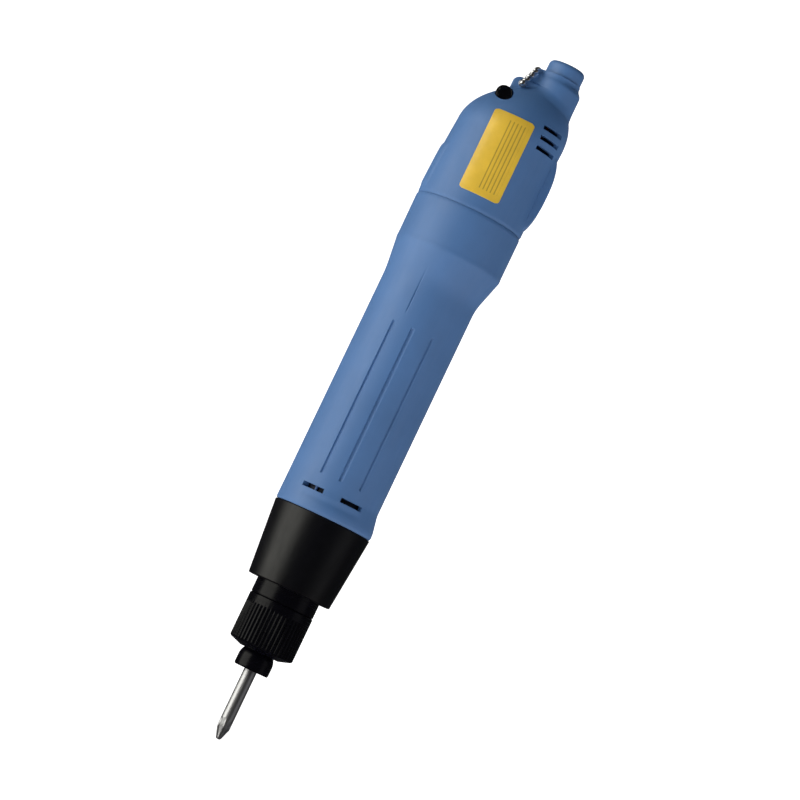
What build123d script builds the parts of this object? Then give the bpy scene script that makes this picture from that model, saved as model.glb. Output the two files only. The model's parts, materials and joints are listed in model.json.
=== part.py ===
"""Handheld electric torque screwdriver, hanging tool axis along Z, bit down.

The origin lies on the spindle axis at the mouth of the chuck. The label faces -Y and the
cable socket stands on the +X side of the head. All lengths are millimetres.
"""
import math
import os

from build123d import *

os.makedirs("parts", exist_ok=True)

# Fits
running_gap = 0.05       # pin in bush, sleeve on spindle
slip_gap = 0.1           # parts that are pushed together by hand
seat_gap = 0.3           # curved parts that only lie near each other
seam = 0.3               # visible joint line between the housings
front_angle = -90.0      # of the front, from +X towards +Y

# Bit and chuck
bit_radius = 2.5
bit_reach = 29.1         # bit below the chuck mouth
bit_point_length = 5.1
bit_point_radius = 1.1
bit_hex_across = 4.2     # the hexagonal tang inside the spindle
bit_in_spindle = 25.2
flute_width = 0.9
sleeve_radius = 7.1
sleeve_length = 7.75
sleeve_top_radius = 5.8
sleeve_travel = 2.0
detent_ball_radius = 1.2
detent_height = 4.5      # centre of the detent balls above the chuck mouth
detent_depth = 0.5       # how far a ball reaches into the bit's groove
snap_ring_thick = 0.6

# Spindle
spindle_radius = 4.3
spindle_flange_radius = 5.4
spindle_flange_thick = 2.0
hex_across = 6.0
push_travel = 2.0
clip_room = 2.25         # from the sleeve, pushed back, to the spring's clip
clip_thick = 0.8
clip_radius = 6.2
chuck_wire = 0.35
start_wire = 0.35
magnet_thick = 0.9

# Torque ring, its seat and its spring
ring_radius = 13.2
ring_base = 6.2
ring_height = 22.0
ring_cone_height = 3.1
ring_knurl_length = 15.1
ring_floor_thick = 5.7
ring_flutes = 48
flute_radius = 0.5
seat_thick = 1.2
clutch_wire = 0.75
clutch_spring_mean = 8.9
clutch_spring_turns = 5

# Clutch housing
tube_radius = 11.35
tube_wall = 0.95
collar_radius = 13.05
collar_height = 5.6      # between the torque ring and the nose cone
bearing_tube_radius = 7.3
bearing_bore = 5.9
bearing_rise = 6.1       # of the bearing tube's mouth above the ring's floor
web_thick = 1.5
cup_radius = 14.9
cup_wall = 1.5
bush_length = 6.0
washer_thick = 1.0
pin_radius = 1.0
pin_circle = 8.85
plate_thick = 1.6
plate_travel = 1.2
clutch_ball_radius = 1.5
clutch_ball_circle = 11.85
clutch_ball_sink = 0.8
clutch_balls_count = 6

# Gears: two equal planetary stages
gear_module = 0.5
sun_teeth = 15
planet_teeth = 15
ring_teeth = 45
planet_count = 3
pressure_angle = 20.0
tip_height = 0.4         # of the teeth, above the pitch circle
root_depth = 0.62        # of the teeth, below the pitch circle
tooth_backlash = 0.12
planet_width = 5.2
planet_pin_radius = 1.2
carrier_radius = 9.8
carrier_thick = 2.4
ring_gear_web = 1.8
divider_thick = 0.8
cover_thick = 2.1
stage_gap = 0.3

# Nose cone
cone_base_radius = 17.0
cone_height = 30.3
cone_top_radius = 20.0
cone_wall = 1.9
cone_floor = 1.5
spigot_radius = 18.2
spigot_wall = 1.8
spigot_height = 6.8

# Motor
mount_length = 17.4
motor_length = 62.0
motor_radius = 16.2
can_wall = 1.0
shaft_radius = 2.0
motor_bearing_radius = 6.5
motor_bearing_width = 5.0
end_plate = 1.0
stator_length = 28.0
stator_bore = 8.3
stator_yoke = 2.5
stator_teeth = 6
stator_tooth_width = 3.6
coil_thick = 1.5
coil_overhang = 3.5
rotor_radius = 7.8
fan_rise = 4.4           # of the fan above the foot of the motor mount
fan_height = 9.5
fan_radius = 14.3
fan_blades = 9
mount_wall = 1.0

# Barrel
barrel_base_radius = 20.0
foot_height = 2.5
flare_height = 7.4
grip_length = 88.6
grip_radius = 19.24
grip_shift = -0.7        # the grip's axis lies this far from the spindle's, along X
swell_height = 13.0
swell_radius = 21.8
swell_shift = 0.4
upper_length = 19.0      # from the swelling to the head's seam
head_radius = 22.0
head_shift = 0.35
motor_bore = 16.5
upper_bore = 18.2
lip_radius = 20.2
lip_length = 5.0
groove_width = 2.0
groove_depth = 0.7
groove_start = 5.2       # above the foot of the grip
groove_length = 63.4
groove_angles = (-23.0, 2.0, 27.0)
outlet_drop = 1.1        # below the foot of the grip
outlet_tall = 1.75
outlet_spans = ((-39.0, -11.0), (11.0, 40.0))

# Head
head_wall = 2.2
skirt_height = 33.0
crown_height = 24.7
crown_shift = 1.3
crown_half_x = 21.2
crown_half_y = 21.0
crown_top_shift = 8.0
crown_top_half_x = 5.5
crown_top_half_y = 6.4
neck_shift = 10.15
neck_radius = 9.45
neck_top_shift = 9.7
neck_top_radius = 8.5
neck_root = 12.7         # how far the neck reaches down into the crown
neck_height = 6.4
neck_bevel = 2.8
side_boss_rise = 4.5     # above the head's seam
side_boss_length = 29.0
side_boss_reach = 24.7
side_boss_half_width = 6.4
inlet_rise = 0.4         # of the lowest inlet above the foot of the crown
inlet_pitch = 4.2
inlet_count = 3
inlet_tall = 1.55
inlet_span = (33.0, 64.0)
label_rise = 6.1         # above the head's seam
label_height = 34.4
label_width = 16.8
label_thick = 0.25
label_corner = 1.2
pad_rise = 0.45          # raised pad opposite the side boss
pad_half_width = 9.0
pad_start = 2.0          # above the head's seam
pad_height = 19.4

screw_angles = (55.0, 125.0)   # from +X towards +Y, on the back
screw_radius = 0.9
screw_head_radius = 1.8
screw_length = 2.9
screw_head_thick = 1.0
ridge_left = -6.8        # ridge beside the neck that carries the hanger
ridge_fillet = 2.6

# Cable socket
socket_shift = 10.55
collar_ring_radius = 7.45
collar_ring_height = 5.8
collar_ring_fillet = 1.6
socket_bore = 5.5
socket_recess = 4.6
socket_recess_depth = 8.3
socket_root = 10.0       # of the insert below its floor
socket_sink = 0.6        # of the insert's mouth in the collar
contact_radius = 0.9
contact_bore = 0.5
contact_circle = 2.9
contact_count = 6
lead_radius = 0.55

# Reverse switch
switch_x = -7.8
switch_y = -9.3
switch_rise = 0.64       # of the crown's height
switch_tilt = 18.0       # its face looks up by this angle
switch_radius = 3.4
switch_rim = 0.45
switch_depth = 7.0
rocker_thick = 1.7
rocker_crest = 0.8
rocker_turn = 45.0       # of the rocker's pivot in the switch face
rocker_pin = 0.4
rocker_lift = 0.3        # of its top above the switch face

# Hanger
bail_x = -2.9
bail_drop = 2.7          # of its pivot below the head's top
bail_wire = 0.9
bail_reach = 8.8         # from the pivot to the middle of the cross wire
bail_lean = 18.0
bail_half_width = 7.6
bail_pin_radius = 0.8
bail_eye_radius = 1.5
bail_eye_thick = 1.3
bail_ball_radius = 1.25

# Control board
board_width = 28.0
board_thick = 1.6
board_y = 1.0
board_gap = 5.0          # above the motor
board_drop = 2.0         # of its top below the crown
rail_drop = 3.0          # of the rails' tops below the head's seam

# Worked out from the sizes above, from the bit upwards
centre_distance = gear_module * (sun_teeth + planet_teeth) / 2
bit_hex_corner = bit_hex_across / 2 / math.cos(math.radians(30))
detent_circle = bit_hex_corner - detent_depth + detent_ball_radius
snap_ring_base = detent_height - detent_ball_radius - 1.2
clip_base = sleeve_length + sleeve_travel + clip_room
ring_knurl_base = ring_base + ring_cone_height
ring_knurl_top = ring_knurl_base + ring_knurl_length
ring_floor_top = ring_base + ring_floor_thick
ring_top = ring_base + ring_height
tube_base = ring_floor_top + 2 * slip_gap
collar_base = ring_top + slip_gap
bearing_tube_base = ring_floor_top + bearing_rise
spindle_flange_base = bearing_tube_base + bush_length + slip_gap
spindle_flange_top = spindle_flange_base + spindle_flange_thick
magnet_top = spindle_flange_top + magnet_thick
cone_base = collar_base + collar_height
cone_top = cone_base + cone_height
cone_slope = (cone_top_radius - cone_base_radius) / cone_height
spigot_top = cone_top + spigot_height
web_base = cone_base + cone_floor + slip_gap
web_top = web_base + web_thick
cup_bore = cup_radius - cup_wall
hub_radius = bearing_bore - 0.6
hub_base = web_top - 3.8
seat_base = ring_floor_top + slip_gap
seat_top = seat_base + seat_thick
washer_base = web_base - 2 * plate_travel
washer_top = washer_base + washer_thick
plate_base = web_top + plate_travel + 0.7
plate_top = plate_base + plate_thick
ball_height = plate_top - clutch_ball_sink + clutch_ball_radius
ring_gear_base = ball_height + clutch_ball_radius - clutch_ball_sink
carrier_2_base = plate_top + 0.5
carrier_2_top = carrier_2_base + carrier_thick
hex_top = carrier_2_top - push_travel - 2 * slip_gap
planet_2_base = ring_gear_base + ring_gear_web + stage_gap
planet_2_top = planet_2_base + planet_width
divider_base = planet_2_top + 2 * stage_gap
divider_top = divider_base + divider_thick
carrier_1_base = divider_top + stage_gap
carrier_1_top = carrier_1_base + carrier_thick
planet_1_base = carrier_1_top + stage_gap
planet_1_top = planet_1_base + planet_width
cover_base = planet_1_top + 2 * stage_gap
cup_top = cover_base + cover_thick
mount_base = cup_top + slip_gap
fan_base = mount_base + fan_rise
motor_base = mount_base + mount_length
motor_top = motor_base + motor_length
stator_radius = motor_radius - can_wall - slip_gap
stator_base = motor_base + (motor_length - stator_length) / 2
barrel_base = cone_top + seam
foot_top = barrel_base + foot_height
grip_base = foot_top + flare_height
grip_top = grip_base + grip_length
outlet_height = grip_base - outlet_drop
groove_base = grip_base + groove_start
groove_top = groove_base + groove_length
swell_top = grip_top + swell_height
head_seam = swell_top + upper_length
crown_base = head_seam + skirt_height
head_top = crown_base + crown_height
cavity_top = crown_base + crown_height / 2
board_base = motor_top + board_gap
board_top = crown_base - board_drop
rail_top = head_seam - rail_drop
side_boss_base = head_seam + side_boss_rise
side_boss_top = side_boss_base + side_boss_length
pad_base = head_seam + pad_start
label_base = head_seam + label_rise
label_top = label_base + label_height
inlet_heights = [crown_base + inlet_rise + inlet_pitch * n for n in range(inlet_count)]
neck_base = head_top - neck_root
neck_top = head_top + neck_height
collar_ring_top = neck_top + collar_ring_height
socket_mouth = collar_ring_top - socket_sink
socket_floor = socket_mouth - socket_recess_depth
socket_base = socket_floor - socket_root
switch_place = (switch_x, switch_y, crown_base + switch_rise * crown_height)
bail_z = head_top - bail_drop
bail_flat = bail_half_width - bail_eye_thick / 2 - seat_gap


def screw_plane(angle):
    """The plane across a cap screw where its shank starts, inside the barrel's lip."""
    out = (math.cos(math.radians(angle)), math.sin(math.radians(angle)))
    start = upper_bore - 0.2
    place = (head_shift + start * out[0], start * out[1], head_seam + lip_length / 2)
    return Plane(origin=place, z_dir=(*out, 0))


def disc(radius, bore, bottom, top, mode=Mode.ADD, x=0.0):
    """A round plate or tube about a vertical axis, added to or cut from the piece."""
    with BuildSketch(Plane.XY.offset(bottom)) as outline:
        with Locations((x, 0)):
            Circle(radius)
            if bore > 0:
                Circle(bore, mode=Mode.SUBTRACT)
    extrude(outline.sketch, amount=top - bottom, mode=mode)


def hexagon_prism(across, bottom, top, mode=Mode.ADD):
    """A hexagonal bar on the spindle axis, or a hexagonal hole cut along it."""
    with BuildSketch(Plane.XY.offset(bottom)) as outline:
        RegularPolygon(across / 2, 6, major_radius=False)
    extrude(outline.sketch, amount=top - bottom, mode=mode)


def block(x_span, y_span, z_span, mode=Mode.ADD):
    """A rectangular block between two values on each axis."""
    sizes = [high - low for low, high in (x_span, y_span, z_span)]
    middle = tuple((low + high) / 2 for low, high in (x_span, y_span, z_span))
    with Locations(middle):
        Box(*sizes, mode=mode)


def turned(points, mode=Mode.ADD):
    """The closed outline of (radius, height) points turned about the spindle axis."""
    with BuildSketch(Plane.XZ) as outline:
        with BuildLine():
            Polyline(*points, close=True)
        make_face()
    revolve(outline.sketch, axis=Axis.Z, mode=mode)


def tapered(low, high, mode=Mode.ADD):
    """A straight loft between two circles given as (height, shift along X, radius)."""
    rounds = []
    for height, shift, radius in (low, high):
        with BuildSketch(Plane.XY.offset(height)) as outline:
            with Locations((shift, 0)):
                Circle(radius)
        rounds.append(outline.sketch)
    loft(rounds, ruled=True, mode=mode)


def slot_band(span, inner, outer, middle, tall, shift=0.0):
    """Cuts a level slot between two angles, counted from the front (-Y) towards +X."""
    start, end = (angle + front_angle for angle in span)
    with BuildSketch(Plane.XY.offset(middle - tall / 2)) as outline:
        with BuildLine():
            near = CenterArc((shift, 0), inner, start, end - start)
            far = CenterArc((shift, 0), outer, start, end - start)
            Line(near @ 0, far @ 0)
            Line(near @ 1, far @ 1)
        make_face()
    extrude(outline.sketch, amount=tall, mode=Mode.SUBTRACT)


def cross_pin(radius, x, z, y_from, y_to, mode=Mode.ADD):
    """A cylinder along Y between two depths."""
    with BuildSketch(Plane.XZ.offset(-y_from)) as outline:
        with Locations((x, z)):
            Circle(radius)
    extrude(outline.sketch, amount=-(y_to - y_from), mode=mode)


def coil(mean_radius, wire, bottom, top, turns):
    """A compression spring of round wire between two levels."""
    rise = top - bottom - 2 * wire
    with BuildLine(mode=Mode.PRIVATE) as path:
        Helix(pitch=rise / turns, height=rise, radius=mean_radius, center=(0, 0, bottom + wire))
    with BuildSketch(Plane(origin=path.line @ 0, z_dir=path.line % 0)) as section:
        Circle(wire)
    sweep(section.sketch, path=path.line, is_frenet=True)


def involute_angle(radius, base_radius):
    """The involute's polar angle at a radius, nought inside the base circle."""
    if radius <= base_radius:
        return 0.0
    slope = math.acos(base_radius / radius)
    return math.tan(slope) - slope


def tooth_points(teeth, low, high, widening):
    """The corners of a gear outline: involute flanks between two radii.

    A tooth is centred on the X axis. Its thickness on the pitch circle is half the pitch
    plus the widening, which is negative for a tooth and positive for a tooth space.
    """
    pitch_radius = gear_module * teeth / 2
    base_radius = pitch_radius * math.cos(math.radians(pressure_angle))
    half = (math.pi * gear_module / 2 + widening) / 2 / pitch_radius
    half += involute_angle(pitch_radius, base_radius)
    levels = (low, pitch_radius, high)
    flank = [(r, half - involute_angle(r, base_radius)) for r in levels]
    tooth = [(r, -a) for r, a in flank] + [(r, a) for r, a in reversed(flank)]
    step = 2 * math.pi / teeth
    corners = [(r, a + step * n) for n in range(teeth) for r, a in tooth]
    return [(r * math.cos(a), r * math.sin(a)) for r, a in corners]


def gear(teeth, bottom, top, x=0.0):
    """A spur gear with its axis at (x, 0)."""
    pitch_radius = gear_module * teeth / 2
    points = tooth_points(teeth, pitch_radius - root_depth, pitch_radius + tip_height,
                          -tooth_backlash)
    with BuildSketch(Plane.XY.offset(bottom)) as outline:
        with BuildLine():
            Polyline(*[(x + px, py) for px, py in points], close=True)
        make_face()
    extrude(outline.sketch, amount=top - bottom)


def ring_teeth_cut(bottom, top):
    """Cuts the internal teeth of a ring gear."""
    pitch_radius = gear_module * ring_teeth / 2
    points = tooth_points(ring_teeth, pitch_radius - tip_height, pitch_radius + root_depth,
                          tooth_backlash)
    with BuildSketch(Plane.XY.offset(bottom)) as outline:
        with BuildLine():
            Polyline(*points, close=True)
        make_face()
    extrude(outline.sketch, amount=top - bottom, mode=Mode.SUBTRACT)


def planet(name, turn, bottom):
    """One planet gear, turned about the spindle axis to its place, as its own file."""
    with BuildPart() as wheel:
        gear(planet_teeth, bottom, bottom + planet_width, x=centre_distance)
        disc(planet_pin_radius + running_gap, 0, bottom, bottom + planet_width,
             Mode.SUBTRACT, x=centre_distance)
    placed = wheel.part.rotate(Axis.Z, turn)
    placed.label = name
    export_step(placed, f"parts/{name}.step")


def oval(height, shift, half_x, half_y):
    """A level oval outline centred on the plane of symmetry."""
    with BuildSketch(Plane.XY.offset(height)) as outline:
        with Locations((shift, 0)):
            Ellipse(half_x, half_y)
    return outline.sketch


def head_skirt(growth):
    """The outlines of the head's lower part, from the seam to the base of the crown."""
    middle = (head_seam + seam + crown_base) / 2
    return [
        oval(head_seam + seam, head_shift, head_radius + growth, head_radius + growth),
        oval(middle, head_shift + 0.3, head_radius - 0.3 + growth, head_radius - 0.35 + growth),
        oval(crown_base, crown_shift, crown_half_x + growth, crown_half_y + growth),
    ]


def head_crown(growth, steps, top_step):
    """The outlines of the crown, which leans towards the neck and narrows under it.

    Shift and half-lengths follow powers of the height, so the shoulder is one smooth curve.
    """
    outlines = []
    for number in range(top_step + 1):
        rise = number / steps
        height = crown_base + (head_top - crown_base) * rise
        shift = crown_shift + (crown_top_shift - crown_shift) * rise ** 1.6
        half_x = crown_half_x - (crown_half_x - crown_top_half_x) * rise ** 2.5
        half_y = crown_half_y - (crown_half_y - crown_top_half_y) * rise ** 1.9
        outlines.append(oval(height, shift, half_x + growth, half_y + growth))
    return outlines


def head_form(growth, mode=Mode.ADD):
    """The head's outer form, or one parallel to it, as two lofts."""
    loft(head_skirt(growth), ruled=True, mode=mode)
    loft(head_crown(growth, 6, 6), mode=mode)


switch_normal = (0, -math.cos(math.radians(switch_tilt)), math.sin(math.radians(switch_tilt)))
switch_face = Plane(origin=switch_place, x_dir=(1, 0, 0), z_dir=switch_normal)
rocker_axis = switch_face.x_dir * math.cos(math.radians(rocker_turn)) + (
    switch_face.y_dir * math.sin(math.radians(rocker_turn)))
rocker_origin = switch_face.origin + switch_face.z_dir * (rocker_lift - rocker_thick / 2)
rocker_plane = Plane(origin=rocker_origin, z_dir=rocker_axis)
lean = math.radians(bail_lean)
bail_plane = Plane(origin=(bail_x, 0, bail_z), x_dir=(0, 1, 0),
                   z_dir=(math.cos(lean), 0, -math.sin(lean)))

# Screwdriver bit: round shank, ground cone with four flutes, hexagonal tang with a
# waist for the balls
with BuildPart() as screwdriver_bit:
    turned((
        (0, -bit_reach),
        (bit_point_radius * 0.45, -bit_reach),
        (bit_point_radius, -bit_reach + 0.9),
        (bit_radius, -bit_reach + bit_point_length),
        (bit_radius, 0),
        (0, 0),
    ))
    hexagon_prism(bit_hex_across, 0, bit_in_spindle)
    with BuildSketch(Plane.XZ) as groove:
        with Locations((detent_circle, detent_height)):
            Circle(detent_ball_radius + running_gap)
    revolve(groove.sketch, axis=Axis.Z, mode=Mode.SUBTRACT)
    with PolarLocations(0, 4, start_angle=45):
        with Locations(Location((bit_point_radius + 0.75, 0, -bit_reach + 2.0), (0, -18, 0))):
            Box(flute_width * 2, flute_width * 1.5, 6.4, mode=Mode.SUBTRACT)
screwdriver_bit.part.label = "screwdriver_bit"
export_step(screwdriver_bit.part, "parts/screwdriver_bit.step")

# Spindle: bored for the bit, holed for the balls, hexagonal where the carrier drives it
with BuildPart() as spindle:
    disc(spindle_radius, 0, seam, spindle_flange_base)
    disc(spindle_flange_radius, 0, spindle_flange_base, spindle_flange_top)
    hexagon_prism(hex_across, spindle_flange_top, hex_top)
    hexagon_prism(bit_hex_across + 2 * running_gap, seam, bit_in_spindle + slip_gap,
                  Mode.SUBTRACT)
    with BuildSketch(Plane.YZ.offset(-spindle_flange_radius)) as ball_hole:
        with Locations((0, detent_height)):
            Circle(detent_ball_radius + running_gap)
    extrude(ball_hole.sketch, amount=2 * spindle_flange_radius, mode=Mode.SUBTRACT)
    disc(spindle_radius + 1, spindle_radius - 0.5, clip_base, clip_base + clip_thick,
         Mode.SUBTRACT)
    disc(spindle_radius + 1, spindle_radius - 0.5, snap_ring_base,
         snap_ring_base + snap_ring_thick, Mode.SUBTRACT)
spindle.part.label = "spindle"
export_step(spindle.part, "parts/spindle.step")

# Two balls that lock the bit
with BuildPart() as detent_balls:
    with Locations((detent_circle, 0, detent_height), (-detent_circle, 0, detent_height)):
        Sphere(detent_ball_radius)
detent_balls.part.label = "detent_balls"
export_step(detent_balls.part, "parts/detent_balls.step")

# Clip that carries the chuck spring, and snap ring that stops the sleeve
with BuildPart() as retaining_rings:
    disc(clip_radius, spindle_radius - 0.5, clip_base, clip_base + clip_thick)
    disc(spindle_radius + 0.6, spindle_radius - 0.5, snap_ring_base,
         snap_ring_base + snap_ring_thick)
retaining_rings.part.label = "retaining_rings"
export_step(retaining_rings.part, "parts/retaining_rings.step")

# Chuck sleeve: its land holds the balls in, its lower recess lets them out
land_base = snap_ring_base + snap_ring_thick + slip_gap
land_top = detent_height + detent_ball_radius + 0.5
land_bore = detent_circle + detent_ball_radius + running_gap
spring_pocket = spindle_radius + 1.3
with BuildPart() as chuck_sleeve:
    turned((
        (spindle_radius + 1.2, 0),
        (sleeve_radius - 0.6, 0),
        (sleeve_radius, 0.6),
        (sleeve_radius, sleeve_length - 2.1),
        (sleeve_top_radius + 0.4, sleeve_length),
        (spring_pocket, sleeve_length),
        (spring_pocket, land_top),
        (land_bore, land_top),
        (land_bore, land_base),
        (spindle_radius + 1.2, land_base),
    ))
chuck_sleeve.part.label = "chuck_sleeve"
export_step(chuck_sleeve.part, "parts/chuck_sleeve.step")

with BuildPart() as chuck_spring:
    coil(spindle_radius + 0.65, chuck_wire, land_top, clip_base, 4)
chuck_spring.part.label = "chuck_spring"
export_step(chuck_spring.part, "parts/chuck_spring.step")

# Magnet that tells the sensor that the bit is pressed on a screw
with BuildPart() as start_magnet:
    disc(spindle_flange_radius, hex_across / 2 + 0.6, spindle_flange_top, magnet_top)
start_magnet.part.label = "start_magnet"
export_step(start_magnet.part, "parts/start_magnet.step")

with BuildPart() as start_spring:
    coil(hex_across / 2 + 1.6, start_wire, magnet_top, hub_base, 4)
start_spring.part.label = "start_spring"
export_step(start_spring.part, "parts/start_spring.step")

# Torque ring: fluted grip, cone towards the chuck, floor that lifts the spring seat
with BuildPart() as torque_ring:
    turned((
        (sleeve_radius + seat_gap, ring_base),
        (sleeve_radius + seat_gap + 0.5, ring_base),
        (ring_radius - 0.3, ring_knurl_base - 0.3),
        (ring_radius, ring_knurl_base),
        (ring_radius, ring_top - 0.8),
        (ring_radius - 0.8, ring_top),
        (tube_radius + slip_gap, ring_top),
        (tube_radius + slip_gap, ring_floor_top),
        (sleeve_radius + seat_gap, ring_floor_top),
    ))
    with BuildSketch(Plane.XY.offset(ring_knurl_base)) as flutes:
        with PolarLocations(ring_radius + 0.12, ring_flutes):
            Circle(flute_radius)
    extrude(flutes.sketch, amount=ring_knurl_top - ring_knurl_base, mode=Mode.SUBTRACT)
torque_ring.part.label = "torque_ring"
export_step(torque_ring.part, "parts/torque_ring.step")

# Washer on the ring's floor that carries the clutch spring
tube_bore = tube_radius - tube_wall
with BuildPart() as spring_seat:
    disc(tube_bore - slip_gap, bearing_tube_radius + seat_gap, seat_base, seat_top)
spring_seat.part.label = "spring_seat"
export_step(spring_seat.part, "parts/spring_seat.step")

with BuildPart() as clutch_spring:
    coil(clutch_spring_mean, clutch_wire, seat_top, washer_base, clutch_spring_turns)
clutch_spring.part.label = "clutch_spring"
export_step(clutch_spring.part, "parts/clutch_spring.step")

with BuildPart() as pin_washer:
    disc(tube_bore - seat_gap, bearing_tube_radius + seat_gap, washer_base, washer_top)
pin_washer.part.label = "pin_washer"
export_step(pin_washer.part, "parts/pin_washer.step")

with BuildPart() as push_pins:
    with BuildSketch(Plane.XY.offset(washer_top)):
        with PolarLocations(pin_circle, planet_count, start_angle=60):
            Circle(pin_radius)
    extrude(amount=plate_base - washer_top)
push_pins.part.label = "push_pins"
export_step(push_pins.part, "parts/push_pins.step")

with BuildPart() as press_plate:
    disc(cup_bore - 2 * slip_gap, hub_radius + 1.6, plate_base, plate_top)
    with PolarLocations(clutch_ball_circle, clutch_balls_count):
        with Locations((0, 0, ball_height)):
            Sphere(clutch_ball_radius + running_gap, mode=Mode.SUBTRACT)
press_plate.part.label = "press_plate"
export_step(press_plate.part, "parts/press_plate.step")

with BuildPart() as clutch_balls:
    with PolarLocations(clutch_ball_circle, clutch_balls_count):
        with Locations((0, 0, ball_height)):
            Sphere(clutch_ball_radius)
clutch_balls.part.label = "clutch_balls"
export_step(clutch_balls.part, "parts/clutch_balls.step")

# Clutch housing: threaded tube, bearing tube, web with pin holes and gearbox cup in one
with BuildPart() as clutch_housing:
    disc(tube_radius, tube_bore, tube_base, web_base)
    disc(collar_radius, tube_bore, collar_base, web_base)
    disc(bearing_tube_radius, bearing_bore, bearing_tube_base, web_base)
    disc(cup_radius, bearing_bore, web_base, web_top)
    disc(cup_radius, cup_bore, web_top, cup_top)
    with BuildSketch(Plane.XY.offset(web_base)):
        with PolarLocations(pin_circle, planet_count, start_angle=60):
            Circle(pin_radius + slip_gap)
        with PolarLocations(pin_circle, 1, start_angle=0):
            Rectangle(2.9, 2.9)
    extrude(amount=web_thick, mode=Mode.SUBTRACT)
clutch_housing.part.label = "clutch_housing"
export_step(clutch_housing.part, "parts/clutch_housing.step")

with BuildPart() as start_sensor:
    block((pin_circle - 1.35, pin_circle + 1.35), (-1.35, 1.35), (web_base + 0.1, web_top))
start_sensor.part.label = "start_sensor"
export_step(start_sensor.part, "parts/start_sensor.step")

# Bronze bushes for the spindle and for the hub of the second carrier
with BuildPart() as spindle_bushes:
    disc(bearing_bore, spindle_radius + running_gap, bearing_tube_base,
         spindle_flange_base - slip_gap)
    disc(bearing_bore, hub_radius + running_gap, hub_base, web_top)
spindle_bushes.part.label = "spindle_bushes"
export_step(spindle_bushes.part, "parts/spindle_bushes.step")

# Second carrier: hub with hexagonal bore, plate and three pins
with BuildPart() as second_carrier:
    disc(hub_radius, 0, hub_base, carrier_2_base)
    disc(carrier_radius, 0, carrier_2_base, carrier_2_top)
    with BuildSketch(Plane.XY.offset(carrier_2_top)):
        with PolarLocations(centre_distance, planet_count):
            Circle(planet_pin_radius)
    extrude(amount=planet_2_top + stage_gap - carrier_2_top)
    hexagon_prism(hex_across + 2 * running_gap, hub_base, carrier_2_top, Mode.SUBTRACT)
second_carrier.part.label = "second_carrier"
export_step(second_carrier.part, "parts/second_carrier.step")

# First carrier with its three pins, and the second sun that it carries below
with BuildPart() as first_carrier:
    disc(carrier_radius, 0, carrier_1_base, carrier_1_top)
    with BuildSketch(Plane.XY.offset(carrier_1_top)):
        with PolarLocations(centre_distance, planet_count):
            Circle(planet_pin_radius)
    extrude(amount=planet_1_top + stage_gap - carrier_1_top)
first_carrier.part.label = "first_carrier"
export_step(first_carrier.part, "parts/first_carrier.step")

with BuildPart() as second_sun:
    gear(sun_teeth, carrier_2_top + stage_gap, carrier_1_base)
second_sun.part.label = "second_sun"
export_step(second_sun.part, "parts/second_sun.step")

with BuildPart() as first_sun:
    gear(sun_teeth, planet_1_base, planet_1_top)
    disc(shaft_radius, 0, planet_1_base, planet_1_top, Mode.SUBTRACT)
first_sun.part.label = "first_sun"
export_step(first_sun.part, "parts/first_sun.step")

for number in range(planet_count):
    letter = "abc"[number]
    planet(f"first_planet_{letter}", number * 360 / planet_count, planet_1_base)
    planet(f"second_planet_{letter}", number * 360 / planet_count, planet_2_base)

# Clutch ring gear: it is held against turning by the balls in its lower face
with BuildPart() as clutch_ring_gear:
    disc(cup_bore - slip_gap, carrier_radius + 1.1, ring_gear_base, ring_gear_base + ring_gear_web)
    disc(cup_bore - slip_gap, 0, ring_gear_base + ring_gear_web, divider_base - slip_gap)
    ring_teeth_cut(ring_gear_base + ring_gear_web, divider_base - slip_gap)
    disc(carrier_radius + 0.9, 0, ring_gear_base, ring_gear_base + ring_gear_web, Mode.SUBTRACT)
    with PolarLocations(clutch_ball_circle, clutch_balls_count):
        with Locations((0, 0, ball_height)):
            Sphere(clutch_ball_radius + running_gap, mode=Mode.SUBTRACT)
clutch_ring_gear.part.label = "clutch_ring_gear"
export_step(clutch_ring_gear.part, "parts/clutch_ring_gear.step")

with BuildPart() as gear_divider:
    disc(cup_bore - slip_gap, 6.0, divider_base, divider_top)
gear_divider.part.label = "gear_divider"
export_step(gear_divider.part, "parts/gear_divider.step")

with BuildPart() as fixed_ring_gear:
    disc(cup_bore - running_gap, 0, divider_top, cover_base)
    ring_teeth_cut(divider_top, cover_base)
fixed_ring_gear.part.label = "fixed_ring_gear"
export_step(fixed_ring_gear.part, "parts/fixed_ring_gear.step")

with BuildPart() as gearbox_cover:
    disc(cup_bore - running_gap, shaft_radius + 1, cover_base, cup_top)
gearbox_cover.part.label = "gearbox_cover"
export_step(gearbox_cover.part, "parts/gearbox_cover.step")

# Nose cone: floor round the collar, straight taper, spigot in the barrel
with BuildPart() as nose_cone:
    inner_low = cone_base_radius + cone_slope * cone_floor - cone_wall
    turned((
        (collar_radius + slip_gap, cone_base),
        (cone_base_radius - 0.5, cone_base),
        (cone_base_radius + 0.05, cone_base + 0.5),
        (cone_top_radius, cone_top),
        (spigot_radius, cone_top),
        (spigot_radius, spigot_top),
        (spigot_radius - spigot_wall, spigot_top),
        (spigot_radius - spigot_wall, cone_top - 3.2),
        (cone_top_radius - cone_wall - 0.6, cone_top - 5.0),
        (inner_low, cone_base + cone_floor),
        (collar_radius + slip_gap, cone_base + cone_floor),
    ))
nose_cone.part.label = "nose_cone"
export_step(nose_cone.part, "parts/nose_cone.step")

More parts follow.
